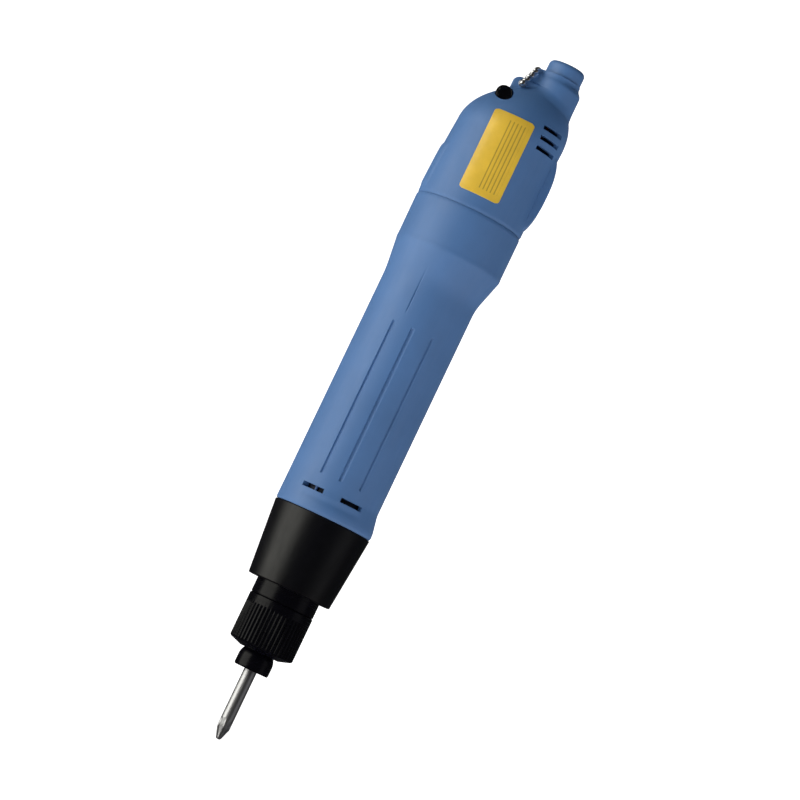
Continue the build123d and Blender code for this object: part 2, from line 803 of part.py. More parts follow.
# Motor mount: plate on the gearbox, wall with six air windows round the fan
with BuildPart() as motor_mount:
    disc(motor_radius, shaft_radius + 4, mount_base, mount_base + 1.5)
    disc(motor_radius, motor_radius - mount_wall, mount_base, motor_base)
    with BuildSketch(Plane.XZ.offset(-motor_radius - 1)) as window:
        with Locations((0, fan_base + fan_height * 0.6)):
            Rectangle(9, 8)
    for turn in range(3):
        extrude(window.sketch.rotate(Axis.Z, 60 * turn), amount=2 * motor_radius + 2,
                mode=Mode.SUBTRACT)
motor_mount.part.label = "motor_mount"
export_step(motor_mount.part, "parts/motor_mount.step")

with BuildPart() as cooling_fan:
    disc(shaft_radius + 2.5, shaft_radius, fan_base, fan_base + fan_height)
    disc(fan_radius, shaft_radius, fan_base, fan_base + 1)
    with PolarLocations(0, fan_blades):
        with Locations(((shaft_radius + 2 + fan_radius) / 2, 0, fan_base + fan_height / 2)):
            Box(fan_radius - shaft_radius - 2.2, 0.9, fan_height)
cooling_fan.part.label = "cooling_fan"
export_step(cooling_fan.part, "parts/cooling_fan.step")

with BuildPart() as motor_shaft:
    disc(shaft_radius, 0, planet_1_base, motor_top + 1.5)
motor_shaft.part.label = "motor_shaft"
export_step(motor_shaft.part, "parts/motor_shaft.step")

with BuildPart() as motor_can:
    disc(motor_radius, motor_radius - can_wall, motor_base, motor_top)
motor_can.part.label = "motor_can"
export_step(motor_can.part, "parts/motor_can.step")

bearing_1_base = motor_base + end_plate
bearing_2_base = motor_top - end_plate - motor_bearing_width
with BuildPart() as motor_front_cap:
    disc(motor_radius - can_wall, shaft_radius + 0.8, motor_base, bearing_1_base)
    disc(motor_radius - can_wall, motor_bearing_radius, bearing_1_base,
         bearing_1_base + motor_bearing_width)
motor_front_cap.part.label = "motor_front_cap"
export_step(motor_front_cap.part, "parts/motor_front_cap.step")

with BuildPart() as motor_rear_cap:
    disc(motor_radius - can_wall, motor_bearing_radius, bearing_2_base, motor_top - end_plate)
    disc(motor_radius - can_wall, shaft_radius + 0.8, motor_top - end_plate, motor_top)
motor_rear_cap.part.label = "motor_rear_cap"
export_step(motor_rear_cap.part, "parts/motor_rear_cap.step")

with BuildPart() as motor_bearings:
    for base in (bearing_1_base, bearing_2_base):
        disc(motor_bearing_radius, shaft_radius + running_gap, base, base + motor_bearing_width)
motor_bearings.part.label = "motor_bearings"
export_step(motor_bearings.part, "parts/motor_bearings.step")

# Stator: laminated ring with six teeth, one coil on each tooth
with BuildPart() as motor_stator:
    with BuildSketch(Plane.XY.offset(stator_base)):
        Circle(stator_radius)
        Circle(stator_radius - stator_yoke, mode=Mode.SUBTRACT)
        with PolarLocations(0, stator_teeth):
            with Locations(((stator_bore + stator_radius - 1) / 2, 0)):
                Rectangle(stator_radius - 1 - stator_bore, stator_tooth_width)
            with Locations((stator_bore + 0.5, 0)):
                Rectangle(1.0, stator_tooth_width * 1.7)
        Circle(stator_bore, mode=Mode.SUBTRACT)
    extrude(amount=stator_length)
motor_stator.part.label = "motor_stator"
export_step(motor_stator.part, "parts/motor_stator.step")

coil_inner = stator_bore + 1.4
coil_outer = stator_radius - stator_yoke - 0.7
coil_half = stator_tooth_width / 2 + coil_thick
with BuildPart() as stator_windings:
    with PolarLocations(0, stator_teeth):
        with Locations(((coil_inner + coil_outer) / 2, 0, stator_base + stator_length / 2)):
            Box(coil_outer - coil_inner, 2 * coil_half, stator_length + 2 * coil_overhang)
            Box(coil_outer - coil_inner, stator_tooth_width + 0.1, stator_length + 0.2,
                mode=Mode.SUBTRACT)
stator_windings.part.label = "stator_windings"
export_step(stator_windings.part, "parts/stator_windings.step")

with BuildPart() as rotor_magnet:
    disc(rotor_radius, shaft_radius, stator_base + 1, stator_base + stator_length - 1)
rotor_magnet.part.label = "rotor_magnet"
export_step(rotor_magnet.part, "parts/rotor_magnet.step")

with BuildPart() as hall_board:
    disc(motor_radius - can_wall, shaft_radius + 2.5, bearing_2_base - 1.2, bearing_2_base)
hall_board.part.label = "hall_board"
export_step(hall_board.part, "parts/hall_board.step")

# Barrel: flared foot, grip with finger grooves, swelling towards the head
with BuildPart() as barrel_housing:
    disc(barrel_base_radius, 0, barrel_base, foot_top)
    tapered((foot_top, 0, barrel_base_radius), (grip_base, grip_shift, grip_radius))
    disc(grip_radius, 0, grip_base, grip_top, x=grip_shift)
    tapered((grip_top, grip_shift, grip_radius), (swell_top, swell_shift, swell_radius))
    tapered((swell_top, swell_shift, swell_radius), (head_seam, head_shift, head_radius))
    disc(lip_radius, 0, head_seam, head_seam + lip_length, x=head_shift)
    disc(spigot_radius + slip_gap, 0, barrel_base, spigot_top + seam, Mode.SUBTRACT)
    disc(motor_bore, 0, spigot_top, motor_top + seat_gap, Mode.SUBTRACT)
    disc(motor_bore - 2.5, 0, motor_top, motor_top + 3, Mode.SUBTRACT)
    disc(motor_bore, 0, motor_top + 2, grip_top, Mode.SUBTRACT)
    tapered((grip_top, 0, motor_bore), (swell_top, head_shift, upper_bore), Mode.SUBTRACT)
    disc(upper_bore, 0, swell_top, head_seam + lip_length, Mode.SUBTRACT, x=head_shift)
    for facing in (0, 180):
        for angle in groove_angles:
            with Locations(Location((grip_shift, 0, (groove_base + groove_top) / 2),
                                    (0, 0, angle + facing + front_angle))):
                with Locations((grip_radius, 0, 0)):
                    Box(2 * groove_depth, groove_width, groove_length,
                        mode=Mode.SUBTRACT)
    for span in outlet_spans:
        slot_band(span, motor_bore - 2, barrel_base_radius + 2, outlet_height, outlet_tall,
                  grip_shift)
    for side in (-1, 1):
        edge = side * board_width / 2
        block(sorted((edge - side * 0.9, edge + side * 3.2)), (board_y - 1, board_y + 2.6),
              (board_base, rail_top))
        block(sorted((edge - side * 2, edge + side * slip_gap)),
              (board_y - slip_gap, board_y + board_thick + slip_gap),
              (board_base, rail_top), Mode.SUBTRACT)
    for angle in screw_angles:
        with BuildSketch(screw_plane(angle)) as hole:
            Circle(screw_radius)
        extrude(hole.sketch, amount=lip_radius, mode=Mode.SUBTRACT)
barrel_housing.part.label = "barrel_housing"
export_step(barrel_housing.part, "parts/barrel_housing.step")

# Head cap: leaning oval form, neck for the socket, side boss, air slots, bail flats
with BuildPart() as head_cap:
    head_form(0)
    disc(neck_radius, 0, neck_base, neck_top - neck_bevel, x=neck_shift)
    tapered((neck_top - neck_bevel, neck_shift, neck_radius),
            (neck_top, neck_top_shift, neck_top_radius))
    with BuildSketch(Plane.XZ.offset(-side_boss_half_width)) as boss:
        with BuildLine():
            root = head_radius - 2
            flank = head_radius + head_shift
            Polyline((flank, side_boss_base), (root, side_boss_base),
                     (root, side_boss_top), (flank, side_boss_top))
            ThreePointArc((flank, side_boss_base),
                          (side_boss_reach, (side_boss_base + side_boss_top) / 2),
                          (flank, side_boss_top))
        make_face()
    extrude(boss.sketch, amount=2 * side_boss_half_width)
    with BuildPart(mode=Mode.PRIVATE) as pad:
        loft(head_skirt(pad_rise), ruled=True)
        block((-head_radius - 1, 0), (-pad_half_width, pad_half_width),
              (pad_base, pad_base + pad_height), Mode.INTERSECT)
    add(pad.part)
    with BuildPart(mode=Mode.PRIVATE) as ridge:
        block((ridge_left, neck_shift), (-bail_flat, bail_flat), (neck_base, head_top))
        fillet(ridge.edges().filter_by(Axis.Y).group_by(Axis.X)[0].sort_by(Axis.Z)[-1],
               ridge_fillet)
    add(ridge.part)
    loft(head_skirt(-head_wall), ruled=True, mode=Mode.SUBTRACT)
    loft(head_crown(-head_wall, 6, 3), ruled=True, mode=Mode.SUBTRACT)
    disc(lip_radius + slip_gap, 0, head_seam, head_seam + lip_length + seat_gap,
         Mode.SUBTRACT, x=head_shift)
    disc(socket_bore, 0, cavity_top - 1, neck_top, Mode.SUBTRACT, x=socket_shift)
    for height in inlet_heights:
        slot_band(inlet_span, socket_shift, head_radius + 4, height, inlet_tall)
    with BuildSketch(switch_face.offset(-switch_depth)) as pocket:
        Circle(switch_radius)
    extrude(pocket.sketch, amount=switch_depth + 12, mode=Mode.SUBTRACT)
    cross_pin(bail_pin_radius, bail_x, bail_z, -head_radius, head_radius, Mode.SUBTRACT)
    for side in (-1, 1):
        cross_pin(bail_eye_radius + 0.6, bail_x, bail_z, side * bail_flat,
                  side * head_radius, Mode.SUBTRACT)
    for angle in screw_angles:
        with BuildSketch(screw_plane(angle)) as hole:
            Circle(screw_radius + slip_gap)
        extrude(hole.sketch, amount=lip_radius, mode=Mode.SUBTRACT)
        with BuildSketch(screw_plane(angle).offset(screw_length)) as hole:
            Circle(screw_head_radius + slip_gap)
        extrude(hole.sketch, amount=lip_radius, mode=Mode.SUBTRACT)
head_cap.part.label = "head_cap"
export_step(head_cap.part, "parts/head_cap.step")

with BuildPart() as cap_screws:
    for angle in screw_angles:
        with BuildSketch(screw_plane(angle)) as shank:
            Circle(screw_radius)
        extrude(shank.sketch, amount=screw_length)
        with BuildSketch(screw_plane(angle).offset(screw_length)) as head:
            Circle(screw_head_radius)
        extrude(head.sketch, amount=screw_head_thick)
cap_screws.part.label = "cap_screws"
export_step(cap_screws.part, "parts/cap_screws.step")

# Rating label: a bare plate that follows the head's front
with BuildPart() as rating_label:
    head_form(label_thick)
    with BuildSketch(Plane.XZ.offset(head_radius / 2)) as outline:
        with Locations((head_shift, (label_base + label_top) / 2)):
            RectangleRounded(label_width, label_height, label_corner)
    extrude(outline.sketch, amount=head_radius, mode=Mode.INTERSECT)
    head_form(0, Mode.SUBTRACT)
rating_label.part.label = "rating_label"
export_step(rating_label.part, "parts/rating_label.step")

# Cable socket: ring on the neck, insert, six hollow contacts flush with its floor
with BuildPart() as socket_collar:
    disc(collar_ring_radius, socket_bore, neck_top, collar_ring_top, x=socket_shift)
    fillet(socket_collar.edges().group_by(Axis.Z)[-1].sort_by(SortBy.LENGTH)[-1],
           collar_ring_fillet)
socket_collar.part.label = "socket_collar"
export_step(socket_collar.part, "parts/socket_collar.step")

with BuildPart() as cable_socket:
    disc(socket_bore - running_gap, 0, socket_base, socket_mouth, x=socket_shift)
    disc(socket_recess, 0, socket_floor, socket_mouth, Mode.SUBTRACT, x=socket_shift)
    with BuildSketch(Plane.XY.offset(socket_base)) as holes:
        with Locations((socket_shift, 0)):
            with PolarLocations(contact_circle, contact_count):
                Circle(contact_radius)
    extrude(holes.sketch, amount=socket_floor - socket_base, mode=Mode.SUBTRACT)
cable_socket.part.label = "cable_socket"
export_step(cable_socket.part, "parts/cable_socket.step")

with BuildPart() as socket_contacts:
    with Locations((socket_shift, 0, 0)):
        with PolarLocations(contact_circle, contact_count):
            with Locations((0, 0, (socket_base + socket_floor) / 2 - 1)):
                Cylinder(contact_radius, socket_floor - socket_base + 2)
            with Locations((0, 0, (socket_base + socket_floor) / 2 + 1)):
                Cylinder(contact_bore, socket_floor - socket_base - 2, mode=Mode.SUBTRACT)
socket_contacts.part.label = "socket_contacts"
export_step(socket_contacts.part, "parts/socket_contacts.step")

# Three leads from the lower ends of the contacts to the top of the board
with BuildPart() as socket_leads:
    for number in range(3):
        turn = math.radians(120 * number)
        start = (socket_shift + contact_circle * math.cos(turn), contact_circle * math.sin(turn))
        end = (board_width / 2 - 2 - 3 * number, board_y + board_thick / 2)
        with BuildLine(mode=Mode.PRIVATE) as route:
            FilletPolyline((*start, socket_base - 2), (*start, socket_base - 7),
                           (*end, board_top + 5), (*end, board_top), radius=3)
        with BuildSketch(Plane(origin=route.line @ 0, z_dir=route.line % 0)) as section:
            Circle(lead_radius)
        sweep(section.sketch, path=route.line)
socket_leads.part.label = "socket_leads"
export_step(socket_leads.part, "parts/socket_leads.step")

# Reverse switch: can in the shoulder, rocker with one raised end
rocker_radius = switch_radius - switch_rim - slip_gap
rocker_middle = rocker_lift - rocker_thick / 2
with BuildPart() as switch_body:
    with BuildSketch(switch_face.offset(-switch_depth)) as outline:
        Circle(switch_radius)
    extrude(outline.sketch, amount=switch_depth)
    with BuildSketch(switch_face.offset(rocker_middle - rocker_thick)) as recess:
        Circle(switch_radius - switch_rim)
    extrude(recess.sketch, amount=2 * rocker_thick, mode=Mode.SUBTRACT)
    with BuildSketch(rocker_plane.offset(-2 * switch_radius)) as pivot:
        Circle(rocker_pin + running_gap)
    extrude(pivot.sketch, amount=4 * switch_radius, mode=Mode.SUBTRACT)
switch_body.part.label = "switch_body"
export_step(switch_body.part, "parts/switch_body.step")

with BuildPart() as switch_rocker:
    with BuildSketch(switch_face.offset(rocker_lift - rocker_thick)) as outline:
        Circle(rocker_radius)
    extrude(outline.sketch, amount=rocker_thick)
    with BuildSketch(rocker_plane.offset(-switch_radius + slip_gap)) as pivot:
        Circle(rocker_pin)
    extrude(pivot.sketch, amount=2 * (switch_radius - slip_gap))
    with BuildSketch(switch_face.offset(rocker_lift)) as crest:
        with Locations(Location((0, 0), rocker_turn + 90)):
            with Locations((rocker_radius - 0.85, 0)):
                Rectangle(1.0, 2.4)
    extrude(crest.sketch, amount=rocker_crest)
switch_rocker.part.label = "switch_rocker"
export_step(switch_rocker.part, "parts/switch_rocker.step")

# Hanger: wire bail on a cross pin with a ball at each end
with BuildPart() as bail_pin:
    pin_end = bail_half_width + bail_eye_thick / 2 + slip_gap + bail_ball_radius * 0.8
    cross_pin(bail_pin_radius, bail_x, bail_z, -pin_end, pin_end)
    with Locations((bail_x, -pin_end, bail_z), (bail_x, pin_end, bail_z)):
        Sphere(bail_ball_radius)
bail_pin.part.label = "bail_pin"
export_step(bail_pin.part, "parts/bail_pin.step")

with BuildPart() as hanger_bail:
    with BuildLine(bail_plane, mode=Mode.PRIVATE) as wire:
        FilletPolyline((-bail_half_width, bail_eye_radius - 0.4), (-bail_half_width, bail_reach),
                       (bail_half_width, bail_reach), (bail_half_width, bail_eye_radius - 0.4),
                       radius=2.6)
    with BuildSketch(Plane(origin=wire.line @ 0, z_dir=wire.line % 0)) as section:
        Circle(bail_wire)
    sweep(section.sketch, path=wire.line)
    for side in (-1, 1):
        middle = side * bail_half_width
        cross_pin(bail_eye_radius, bail_x, bail_z, middle - bail_eye_thick / 2,
                  middle + bail_eye_thick / 2)
    cross_pin(bail_pin_radius + running_gap, bail_x, bail_z, -head_radius, head_radius,
              Mode.SUBTRACT)
hanger_bail.part.label = "hanger_bail"
export_step(hanger_bail.part, "parts/hanger_bail.step")

# Control board with its larger components
with BuildPart() as control_board:
    block((-board_width / 2, board_width / 2), (board_y, board_y + board_thick),
          (board_base, board_top))
control_board.part.label = "control_board"
export_step(control_board.part, "parts/control_board.step")

with BuildPart() as power_transistors:
    with Locations((0, board_y - 2.25, board_base + 17)):
        with GridLocations(9, 0.1, 3, 1):
            with Locations((0, 0, -7), (0, 0, 7)):
                Box(7, 4.5, 10)
power_transistors.part.label = "power_transistors"
export_step(power_transistors.part, "parts/power_transistors.step")

with BuildPart() as filter_capacitor:
    with BuildSketch(Plane.XY.offset(board_top - 26)) as outline:
        with Locations((0, board_y - 5)):
            Circle(5)
    extrude(outline.sketch, amount=20)
filter_capacitor.part.label = "filter_capacitor"
export_step(filter_capacitor.part, "parts/filter_capacitor.step")

with BuildPart() as control_chip:
    block((-5, 5), (board_y + board_thick, board_y + board_thick + 1.2),
          (rail_top - 12, rail_top - 2))
control_chip.part.label = "control_chip"
export_step(control_chip.part, "parts/control_chip.step")
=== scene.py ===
"""Looks of a handheld electric torque screwdriver, laid out as an add-on and run as a script.

Every surface is worked out from formulas in the tool's own frame: +Z runs from the bit
towards the head, the label faces -Y and the cable socket stands on the +X side.
Shapes are worked out in millimetres and become metres where their meshes are made. Sizes
in properties, finishes and the studio are metres, the small ones written as a number
times mm.
"""
import json
import math

import bpy
import numpy as np
from mathutils import Matrix, Vector


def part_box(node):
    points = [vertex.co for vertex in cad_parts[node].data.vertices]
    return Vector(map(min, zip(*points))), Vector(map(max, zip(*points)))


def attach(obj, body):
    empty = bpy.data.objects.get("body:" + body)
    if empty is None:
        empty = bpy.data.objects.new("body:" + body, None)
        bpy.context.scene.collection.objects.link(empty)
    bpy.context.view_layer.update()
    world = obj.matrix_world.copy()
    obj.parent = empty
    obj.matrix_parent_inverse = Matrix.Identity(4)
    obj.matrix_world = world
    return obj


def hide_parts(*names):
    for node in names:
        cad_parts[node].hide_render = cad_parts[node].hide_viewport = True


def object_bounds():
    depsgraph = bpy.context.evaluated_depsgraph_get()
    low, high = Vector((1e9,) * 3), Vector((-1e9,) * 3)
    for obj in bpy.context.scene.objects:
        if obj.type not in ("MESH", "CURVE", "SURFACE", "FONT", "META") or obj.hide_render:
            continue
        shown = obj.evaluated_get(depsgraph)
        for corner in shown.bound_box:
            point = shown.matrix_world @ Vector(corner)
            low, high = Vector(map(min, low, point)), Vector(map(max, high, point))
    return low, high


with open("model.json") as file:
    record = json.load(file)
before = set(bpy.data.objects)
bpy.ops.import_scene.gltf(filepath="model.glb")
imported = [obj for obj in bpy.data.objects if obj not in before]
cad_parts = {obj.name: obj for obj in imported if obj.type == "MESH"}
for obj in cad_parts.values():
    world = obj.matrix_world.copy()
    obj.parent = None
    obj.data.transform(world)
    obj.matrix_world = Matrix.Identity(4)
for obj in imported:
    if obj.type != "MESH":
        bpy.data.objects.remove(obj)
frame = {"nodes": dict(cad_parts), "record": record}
cad_low, cad_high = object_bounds()

bl_info = {
    "name": "Torque screwdriver looks",
    "version": (1, 0, 0),
    "blender": (4, 5, 0),
    "location": "3D View > Sidebar > Screwdriver",
    "description": "Shells, chuck, hanger, finishes and studio of a torque screwdriver",
    "category": "Object",
}

mm = 0.001
turn = 2 * math.pi


# Numbers that several surfaces share, in millimetres

def in_mm(corners):
    """The two corners of a box in millimetres."""
    return [corner / mm for corner in corners]


head_low = in_mm(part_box("head_cap"))[0]
cone_low, cone_high = in_mm(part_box("nose_cone"))
ring_low, ring_high = in_mm(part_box("torque_ring"))
label_low, label_high = in_mm(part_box("rating_label"))
collar_low, collar_high = in_mm(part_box("socket_collar"))
seam_gap = 0.3
head_seam = head_low.z - seam_gap
tight_rows, tight_columns = 0.05, math.radians(0.12)
x_axis, y_axis, z_axis = np.eye(3)


class TOOL_PG_sizes(bpy.types.PropertyGroup):
    """Sizes of the visible details."""

    groove_depth: bpy.props.FloatProperty(
        name="Groove depth", description="Depth of the finger grooves in the grip",
        default=0.7 * mm, unit="LENGTH")
    flute_count: bpy.props.IntProperty(
        name="Flutes", description="Flutes round the torque ring", default=48, min=8)
    thread_pitch: bpy.props.FloatProperty(
        name="Thread pitch", description="Rise of the adjusting thread in one turn",
        default=1.0 * mm, unit="LENGTH")
    wire_twist: bpy.props.FloatProperty(
        name="Wire twist", description="Length of one twist of the hanger's two strands",
        default=4.6 * mm, unit="LENGTH")


class TOOL_PG_colours(bpy.types.PropertyGroup):
    """Colours of the finishes that show from outside."""

    shell: bpy.props.FloatVectorProperty(
        name="Shell", description="Moulded shell of the grip and head", subtype="COLOR",
        size=3, default=(0.066, 0.172, 0.405))
    black: bpy.props.FloatVectorProperty(
        name="Black", description="Nose cone, ring and chuck", subtype="COLOR",
        size=3, default=(0.0013, 0.0012, 0.0026))
    label: bpy.props.FloatVectorProperty(
        name="Label", description="Plate on the front of the head", subtype="COLOR",
        size=3, default=(0.82, 0.53, 0.053))


class TOOL_PG_studio(bpy.types.PropertyGroup):
    """Where the camera stands."""

    elevation: bpy.props.FloatProperty(
        name="Elevation", description="Angle of the camera above the horizon",
        default=math.radians(-4.7), subtype="ANGLE")
    distance: bpy.props.FloatProperty(
        name="Distance", description="From the camera to the point it looks at",
        default=1.330, unit="LENGTH")
    lean: bpy.props.FloatProperty(
        name="Lean", description="How far the tool's top leans to the right in the picture",
        default=math.radians(25.5), subtype="ANGLE")
    lens: bpy.props.FloatProperty(
        name="Lens", description="Focal length in millimetres", default=154.6)
    aim_x: bpy.props.FloatProperty(
        name="Aim X", description="Point looked at, across the tool",
        default=7.1 * mm, unit="LENGTH")
    aim_z: bpy.props.FloatProperty(
        name="Aim Z", description="Point looked at, along the tool",
        default=118.9 * mm, unit="LENGTH")


# Surfaces: arrays of points to meshes

def wrapped_quads(rows, columns, wrap_rows=False):
    """Corner indices of a grid that closes round its columns, and its rows if asked."""
    count = rows if wrap_rows else rows - 1
    row, column = np.meshgrid(np.arange(count), np.arange(columns), indexing="ij")
    above, beside = (row + 1) % rows, (column + 1) % columns
    corners = (row * columns + column, row * columns + beside,
               above * columns + beside, above * columns + column)
    return np.stack(corners, -1).reshape(-1, 4)


def ring_faces(points):
    """Faces of a grid of points that closes round its columns and its rows."""
    return wrapped_quads(*points.shape[:2], wrap_rows=True)


def capped_faces(points, outward=True):
    """Faces of a grid of points with closed columns and a polygon over either end."""
    rows, columns = points.shape[:2]
    faces = wrapped_quads(rows, columns).tolist()
    faces.append(list(range(columns))[::-1])
    faces.append(list(range((rows - 1) * columns, rows * columns)))
    return faces if outward else [face[::-1] for face in faces]


def new_piece(name, points, faces, body, slot, sharp=38.0):
    """A smooth-shaded mesh object at the origin that rides on its body.

    The points are in millimetres and the mesh is in metres.
    """
    mesh = bpy.data.meshes.new(name)
    mesh.from_pydata((np.asarray(points).reshape(-1, 3) * mm).tolist(), [],
                     [list(face) for face in faces])
    mesh.validate()
    mesh.shade_smooth()
    mesh.set_sharp_from_angle(angle=math.radians(sharp))
    mesh.materials.append(finishes[slot])
    piece = bpy.data.objects.new(name, mesh)
    bpy.context.scene.collection.objects.link(piece)
    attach(piece, body)
    return piece


def soften(piece, width, segments, angle):
    """Rounds the piece's edges that are sharper than an angle."""
    bevel = piece.modifiers.new("rounded_edges", "BEVEL")
    bevel.width = width
    bevel.segments = segments
    bevel.limit_method = "ANGLE"
    bevel.angle_limit = math.radians(angle)
    bevel.use_clamp_overlap = True
    bevel.harden_normals = False


def filleted(corners, steps=5):
    """The outline of (radius, height, fillet) corners with each fillet as an arc.

    The arc between two tangent points is the quadratic curve that has the corner as its
    middle control point.
    """
    corners = np.array(corners, float)
    outline = []
    for number, (radius, height, fillet) in enumerate(corners):
        here = np.array((radius, height))
        if fillet <= 0:
            outline.append(here)
            continue
        before = corners[number - 1, :2] - here
        after = corners[(number + 1) % len(corners), :2] - here
        reach = min(fillet, 0.45 * np.linalg.norm(before), 0.45 * np.linalg.norm(after))
        start = here + before / np.linalg.norm(before) * reach
        end = here + after / np.linalg.norm(after) * reach
        t = np.linspace(0, 1, steps)[:, None]
        outline.extend((1 - t) ** 2 * start + 2 * t * (1 - t) * here + t ** 2 * end)
    return np.array(outline)


def turned_points(radius, height, columns, centre=(0.0, 0.0)):
    """A ring at each height round an upright axis; the radius may change along a ring."""
    around = np.linspace(0, turn, columns, endpoint=False)
    return np.stack((centre[0] + radius * np.cos(around), centre[1] + radius * np.sin(around),
                     np.broadcast_to(height, (len(height), columns))), -1)


def lathe(name, corners, columns, body, slot, centre=(0.0, 0.0)):
    """A closed ring turned from an outline that runs up outside and down inside."""
    outline = filleted(corners)
    points = turned_points(outline[:, :1], outline[:, 1:], columns, centre)
    return new_piece(name, points, ring_faces(points), body, slot)


def smooth_step(value, low, high):
    """Nought below low, one above high, and a smooth rise between."""
    t = np.clip((value - low) / (high - low), 0, 1)
    return t * t * (3 - 2 * t)


def band(value, rise_from, rise_to, fall_from, fall_to):
    """One between the middle two values, with a smooth rise before and fall behind."""
    return smooth_step(value, rise_from, rise_to) * (1 - smooth_step(value, fall_from, fall_to))


def ray_points(centre, distance, angle, height):
    """Points at distances along rays from (centre, 0), counted from -Y towards +X."""
    return np.stack((centre + distance * np.sin(angle), -distance * np.cos(angle),
                     height + 0 * angle), -1)


def rounded_max(first, second, blend):
    """The larger of two arrays, with a fillet about as large as blend where they cross."""
    share = np.clip(0.5 + 0.5 * (first - second) / blend, 0, 1)
    return second + (first - second) * share + blend * share * (1 - share)


# Finishes

def node_tree(name):
    """A new material, its tree and the object's coordinates."""
    material = bpy.data.materials.new(name)
    material.use_nodes = True
    tree = material.node_tree
    place = tree.nodes.new("ShaderNodeTexCoord")
    return material, tree, place.outputs["Object"]


def finished(material, colour, rough, height, bump, metallic=0.0, specular=0.5):
    """The material with its fields joined to the shader; bump is a strength and a length."""
    tree = material.node_tree
    shader = tree.nodes["Principled BSDF"]
    raised = tree.nodes.new("ShaderNodeBump")
    raised.inputs["Strength"].default_value, raised.inputs["Distance"].default_value = bump
    shader.inputs["Metallic"].default_value = metallic
    shader.inputs["Specular IOR Level"].default_value = specular
    for value, socket in ((colour, shader.inputs["Base Color"]),
                          (rough, shader.inputs["Roughness"]),
                          (height, raised.inputs["Height"]),
                          (raised.outputs["Normal"], shader.inputs["Normal"])):
        tree.links.new(value, socket)
    return material


def mapped(tree, vector, scale):
    """Object coordinates stretched by a scale on each axis."""
    mapping = tree.nodes.new("ShaderNodeMapping")
    mapping.inputs["Scale"].default_value = scale
    tree.links.new(vector, mapping.inputs["Vector"])
    return mapping.outputs["Vector"]


def noise(tree, vector, scale, detail=3.0, roughness=0.55):
    """The value of a noise field."""
    node = tree.nodes.new("ShaderNodeTexNoise")
    node.inputs["Scale"].default_value = scale
    node.inputs["Detail"].default_value = detail
    node.inputs["Roughness"].default_value = roughness
    tree.links.new(vector, node.inputs["Vector"])
    return node.outputs["Fac"]


def ranged(tree, value, low, high, start=0.3, end=0.7):
    """A field's values from start to end, spread from low to high."""
    node = tree.nodes.new("ShaderNodeMapRange")
    node.inputs["From Min"].default_value = start
    node.inputs["From Max"].default_value = end
    node.inputs["To Min"].default_value = low
    node.inputs["To Max"].default_value = high
    tree.links.new(value, node.inputs["Value"])
    return node.outputs["Result"]


def shades(tree, value, dark, light, start=0.3, end=0.7):
    """A field turned into colours between two shades."""
    ramp = tree.nodes.new("ShaderNodeValToRGB")
    ramp.color_ramp.elements[0].position = start
    ramp.color_ramp.elements[1].position = end
    ramp.color_ramp.elements[0].color = (*dark, 1)
    ramp.color_ramp.elements[1].color = (*light, 1)
    tree.links.new(value, ramp.inputs["Fac"])
    return ramp.outputs["Color"]


def scaled(colour, factor):
    """A colour made darker or lighter."""
    return tuple(min(1.0, channel * factor) for channel in colour)


def moulded(name, colour, rough=(0.42, 0.55), grain=2600.0, depth=0.02 * mm, spread=0.07,
            specular=0.5):
    """Moulded plastic: spark-eroded grain, slow changes of shade and faint rub marks."""
    material, tree, place = node_tree(name)
    shade = shades(tree, noise(tree, place, 38.0, 4.0), scaled(colour, 1 - spread),
                   scaled(colour, 1 + spread))
    rub = noise(tree, mapped(tree, place, (420.0, 420.0, 90.0)), 1.0, 5.0, 0.65)
    return finished(material, shade, ranged(tree, rub, *rough),
                    noise(tree, place, grain, 2.0, 0.5), (0.35, depth), specular=specular)


def turned_metal(name, colour, rough=(0.25, 0.4), metallic=1.0, lines=1400.0, specular=0.5):
    """Metal from a lathe: fine rings along the tool's axis, and a little mottling."""
    material, tree, place = node_tree(name)
    shade = shades(tree, noise(tree, place, 220.0, 4.0), scaled(colour, 0.88),
                   scaled(colour, 1.08))
    rings = noise(tree, mapped(tree, place, (18.0, 18.0, lines)), 1.0, 3.0, 0.6)
    return finished(material, shade, ranged(tree, rings, *rough), rings, (0.4, 0.006 * mm),
                    metallic, specular)


def ground_metal(name, colour, rough):
    """Ground steel: fine scratches that run along the piece."""
    material, tree, place = node_tree(name)
    streak = noise(tree, mapped(tree, place, (2600.0, 2600.0, 60.0)), 1.0, 3.0, 0.6)
    shade = shades(tree, streak, scaled(colour, 0.78), scaled(colour, 1.1))
    return finished(material, shade, ranged(tree, streak, *rough), streak,
                    (0.25, 0.004 * mm), 1.0)


def banded(name, dark, light, pitch, rough):
    """Thin metal layers stacked along the axis, such as laminations or turns of wire."""
    material, tree, place = node_tree(name)
    wave = tree.nodes.new("ShaderNodeTexWave")
    wave.bands_direction = "Z"
    wave.inputs["Scale"].default_value = 1 / (pitch * 6.4)
    wave.inputs["Distortion"].default_value = 0.3
    tree.links.new(place, wave.inputs["Vector"])
    layers = wave.outputs["Fac"]
    speck = noise(tree, place, 900.0)
    return finished(material, shades(tree, layers, dark, light, 0.1, 0.9),
                    ranged(tree, speck, rough, rough + 0.12), layers, (0.6, pitch / 3), 1.0)


def circuit(name):
    """Green solder mask with paler copper areas under it."""
    material, tree, place = node_tree(name)
    tracks = tree.nodes.new("ShaderNodeTexVoronoi")
    tracks.distance = "MANHATTAN"
    tracks.inputs["Scale"].default_value = 260.0
    tree.links.new(place, tracks.inputs["Vector"])
    areas = tracks.outputs["Distance"]
    return finished(material,
                    shades(tree, areas, (0.012, 0.13, 0.05), (0.03, 0.24, 0.09), 0.35, 0.42),
                    ranged(tree, noise(tree, place, 700.0), 0.25, 0.4), areas,
                    (0.3, 0.02 * mm))


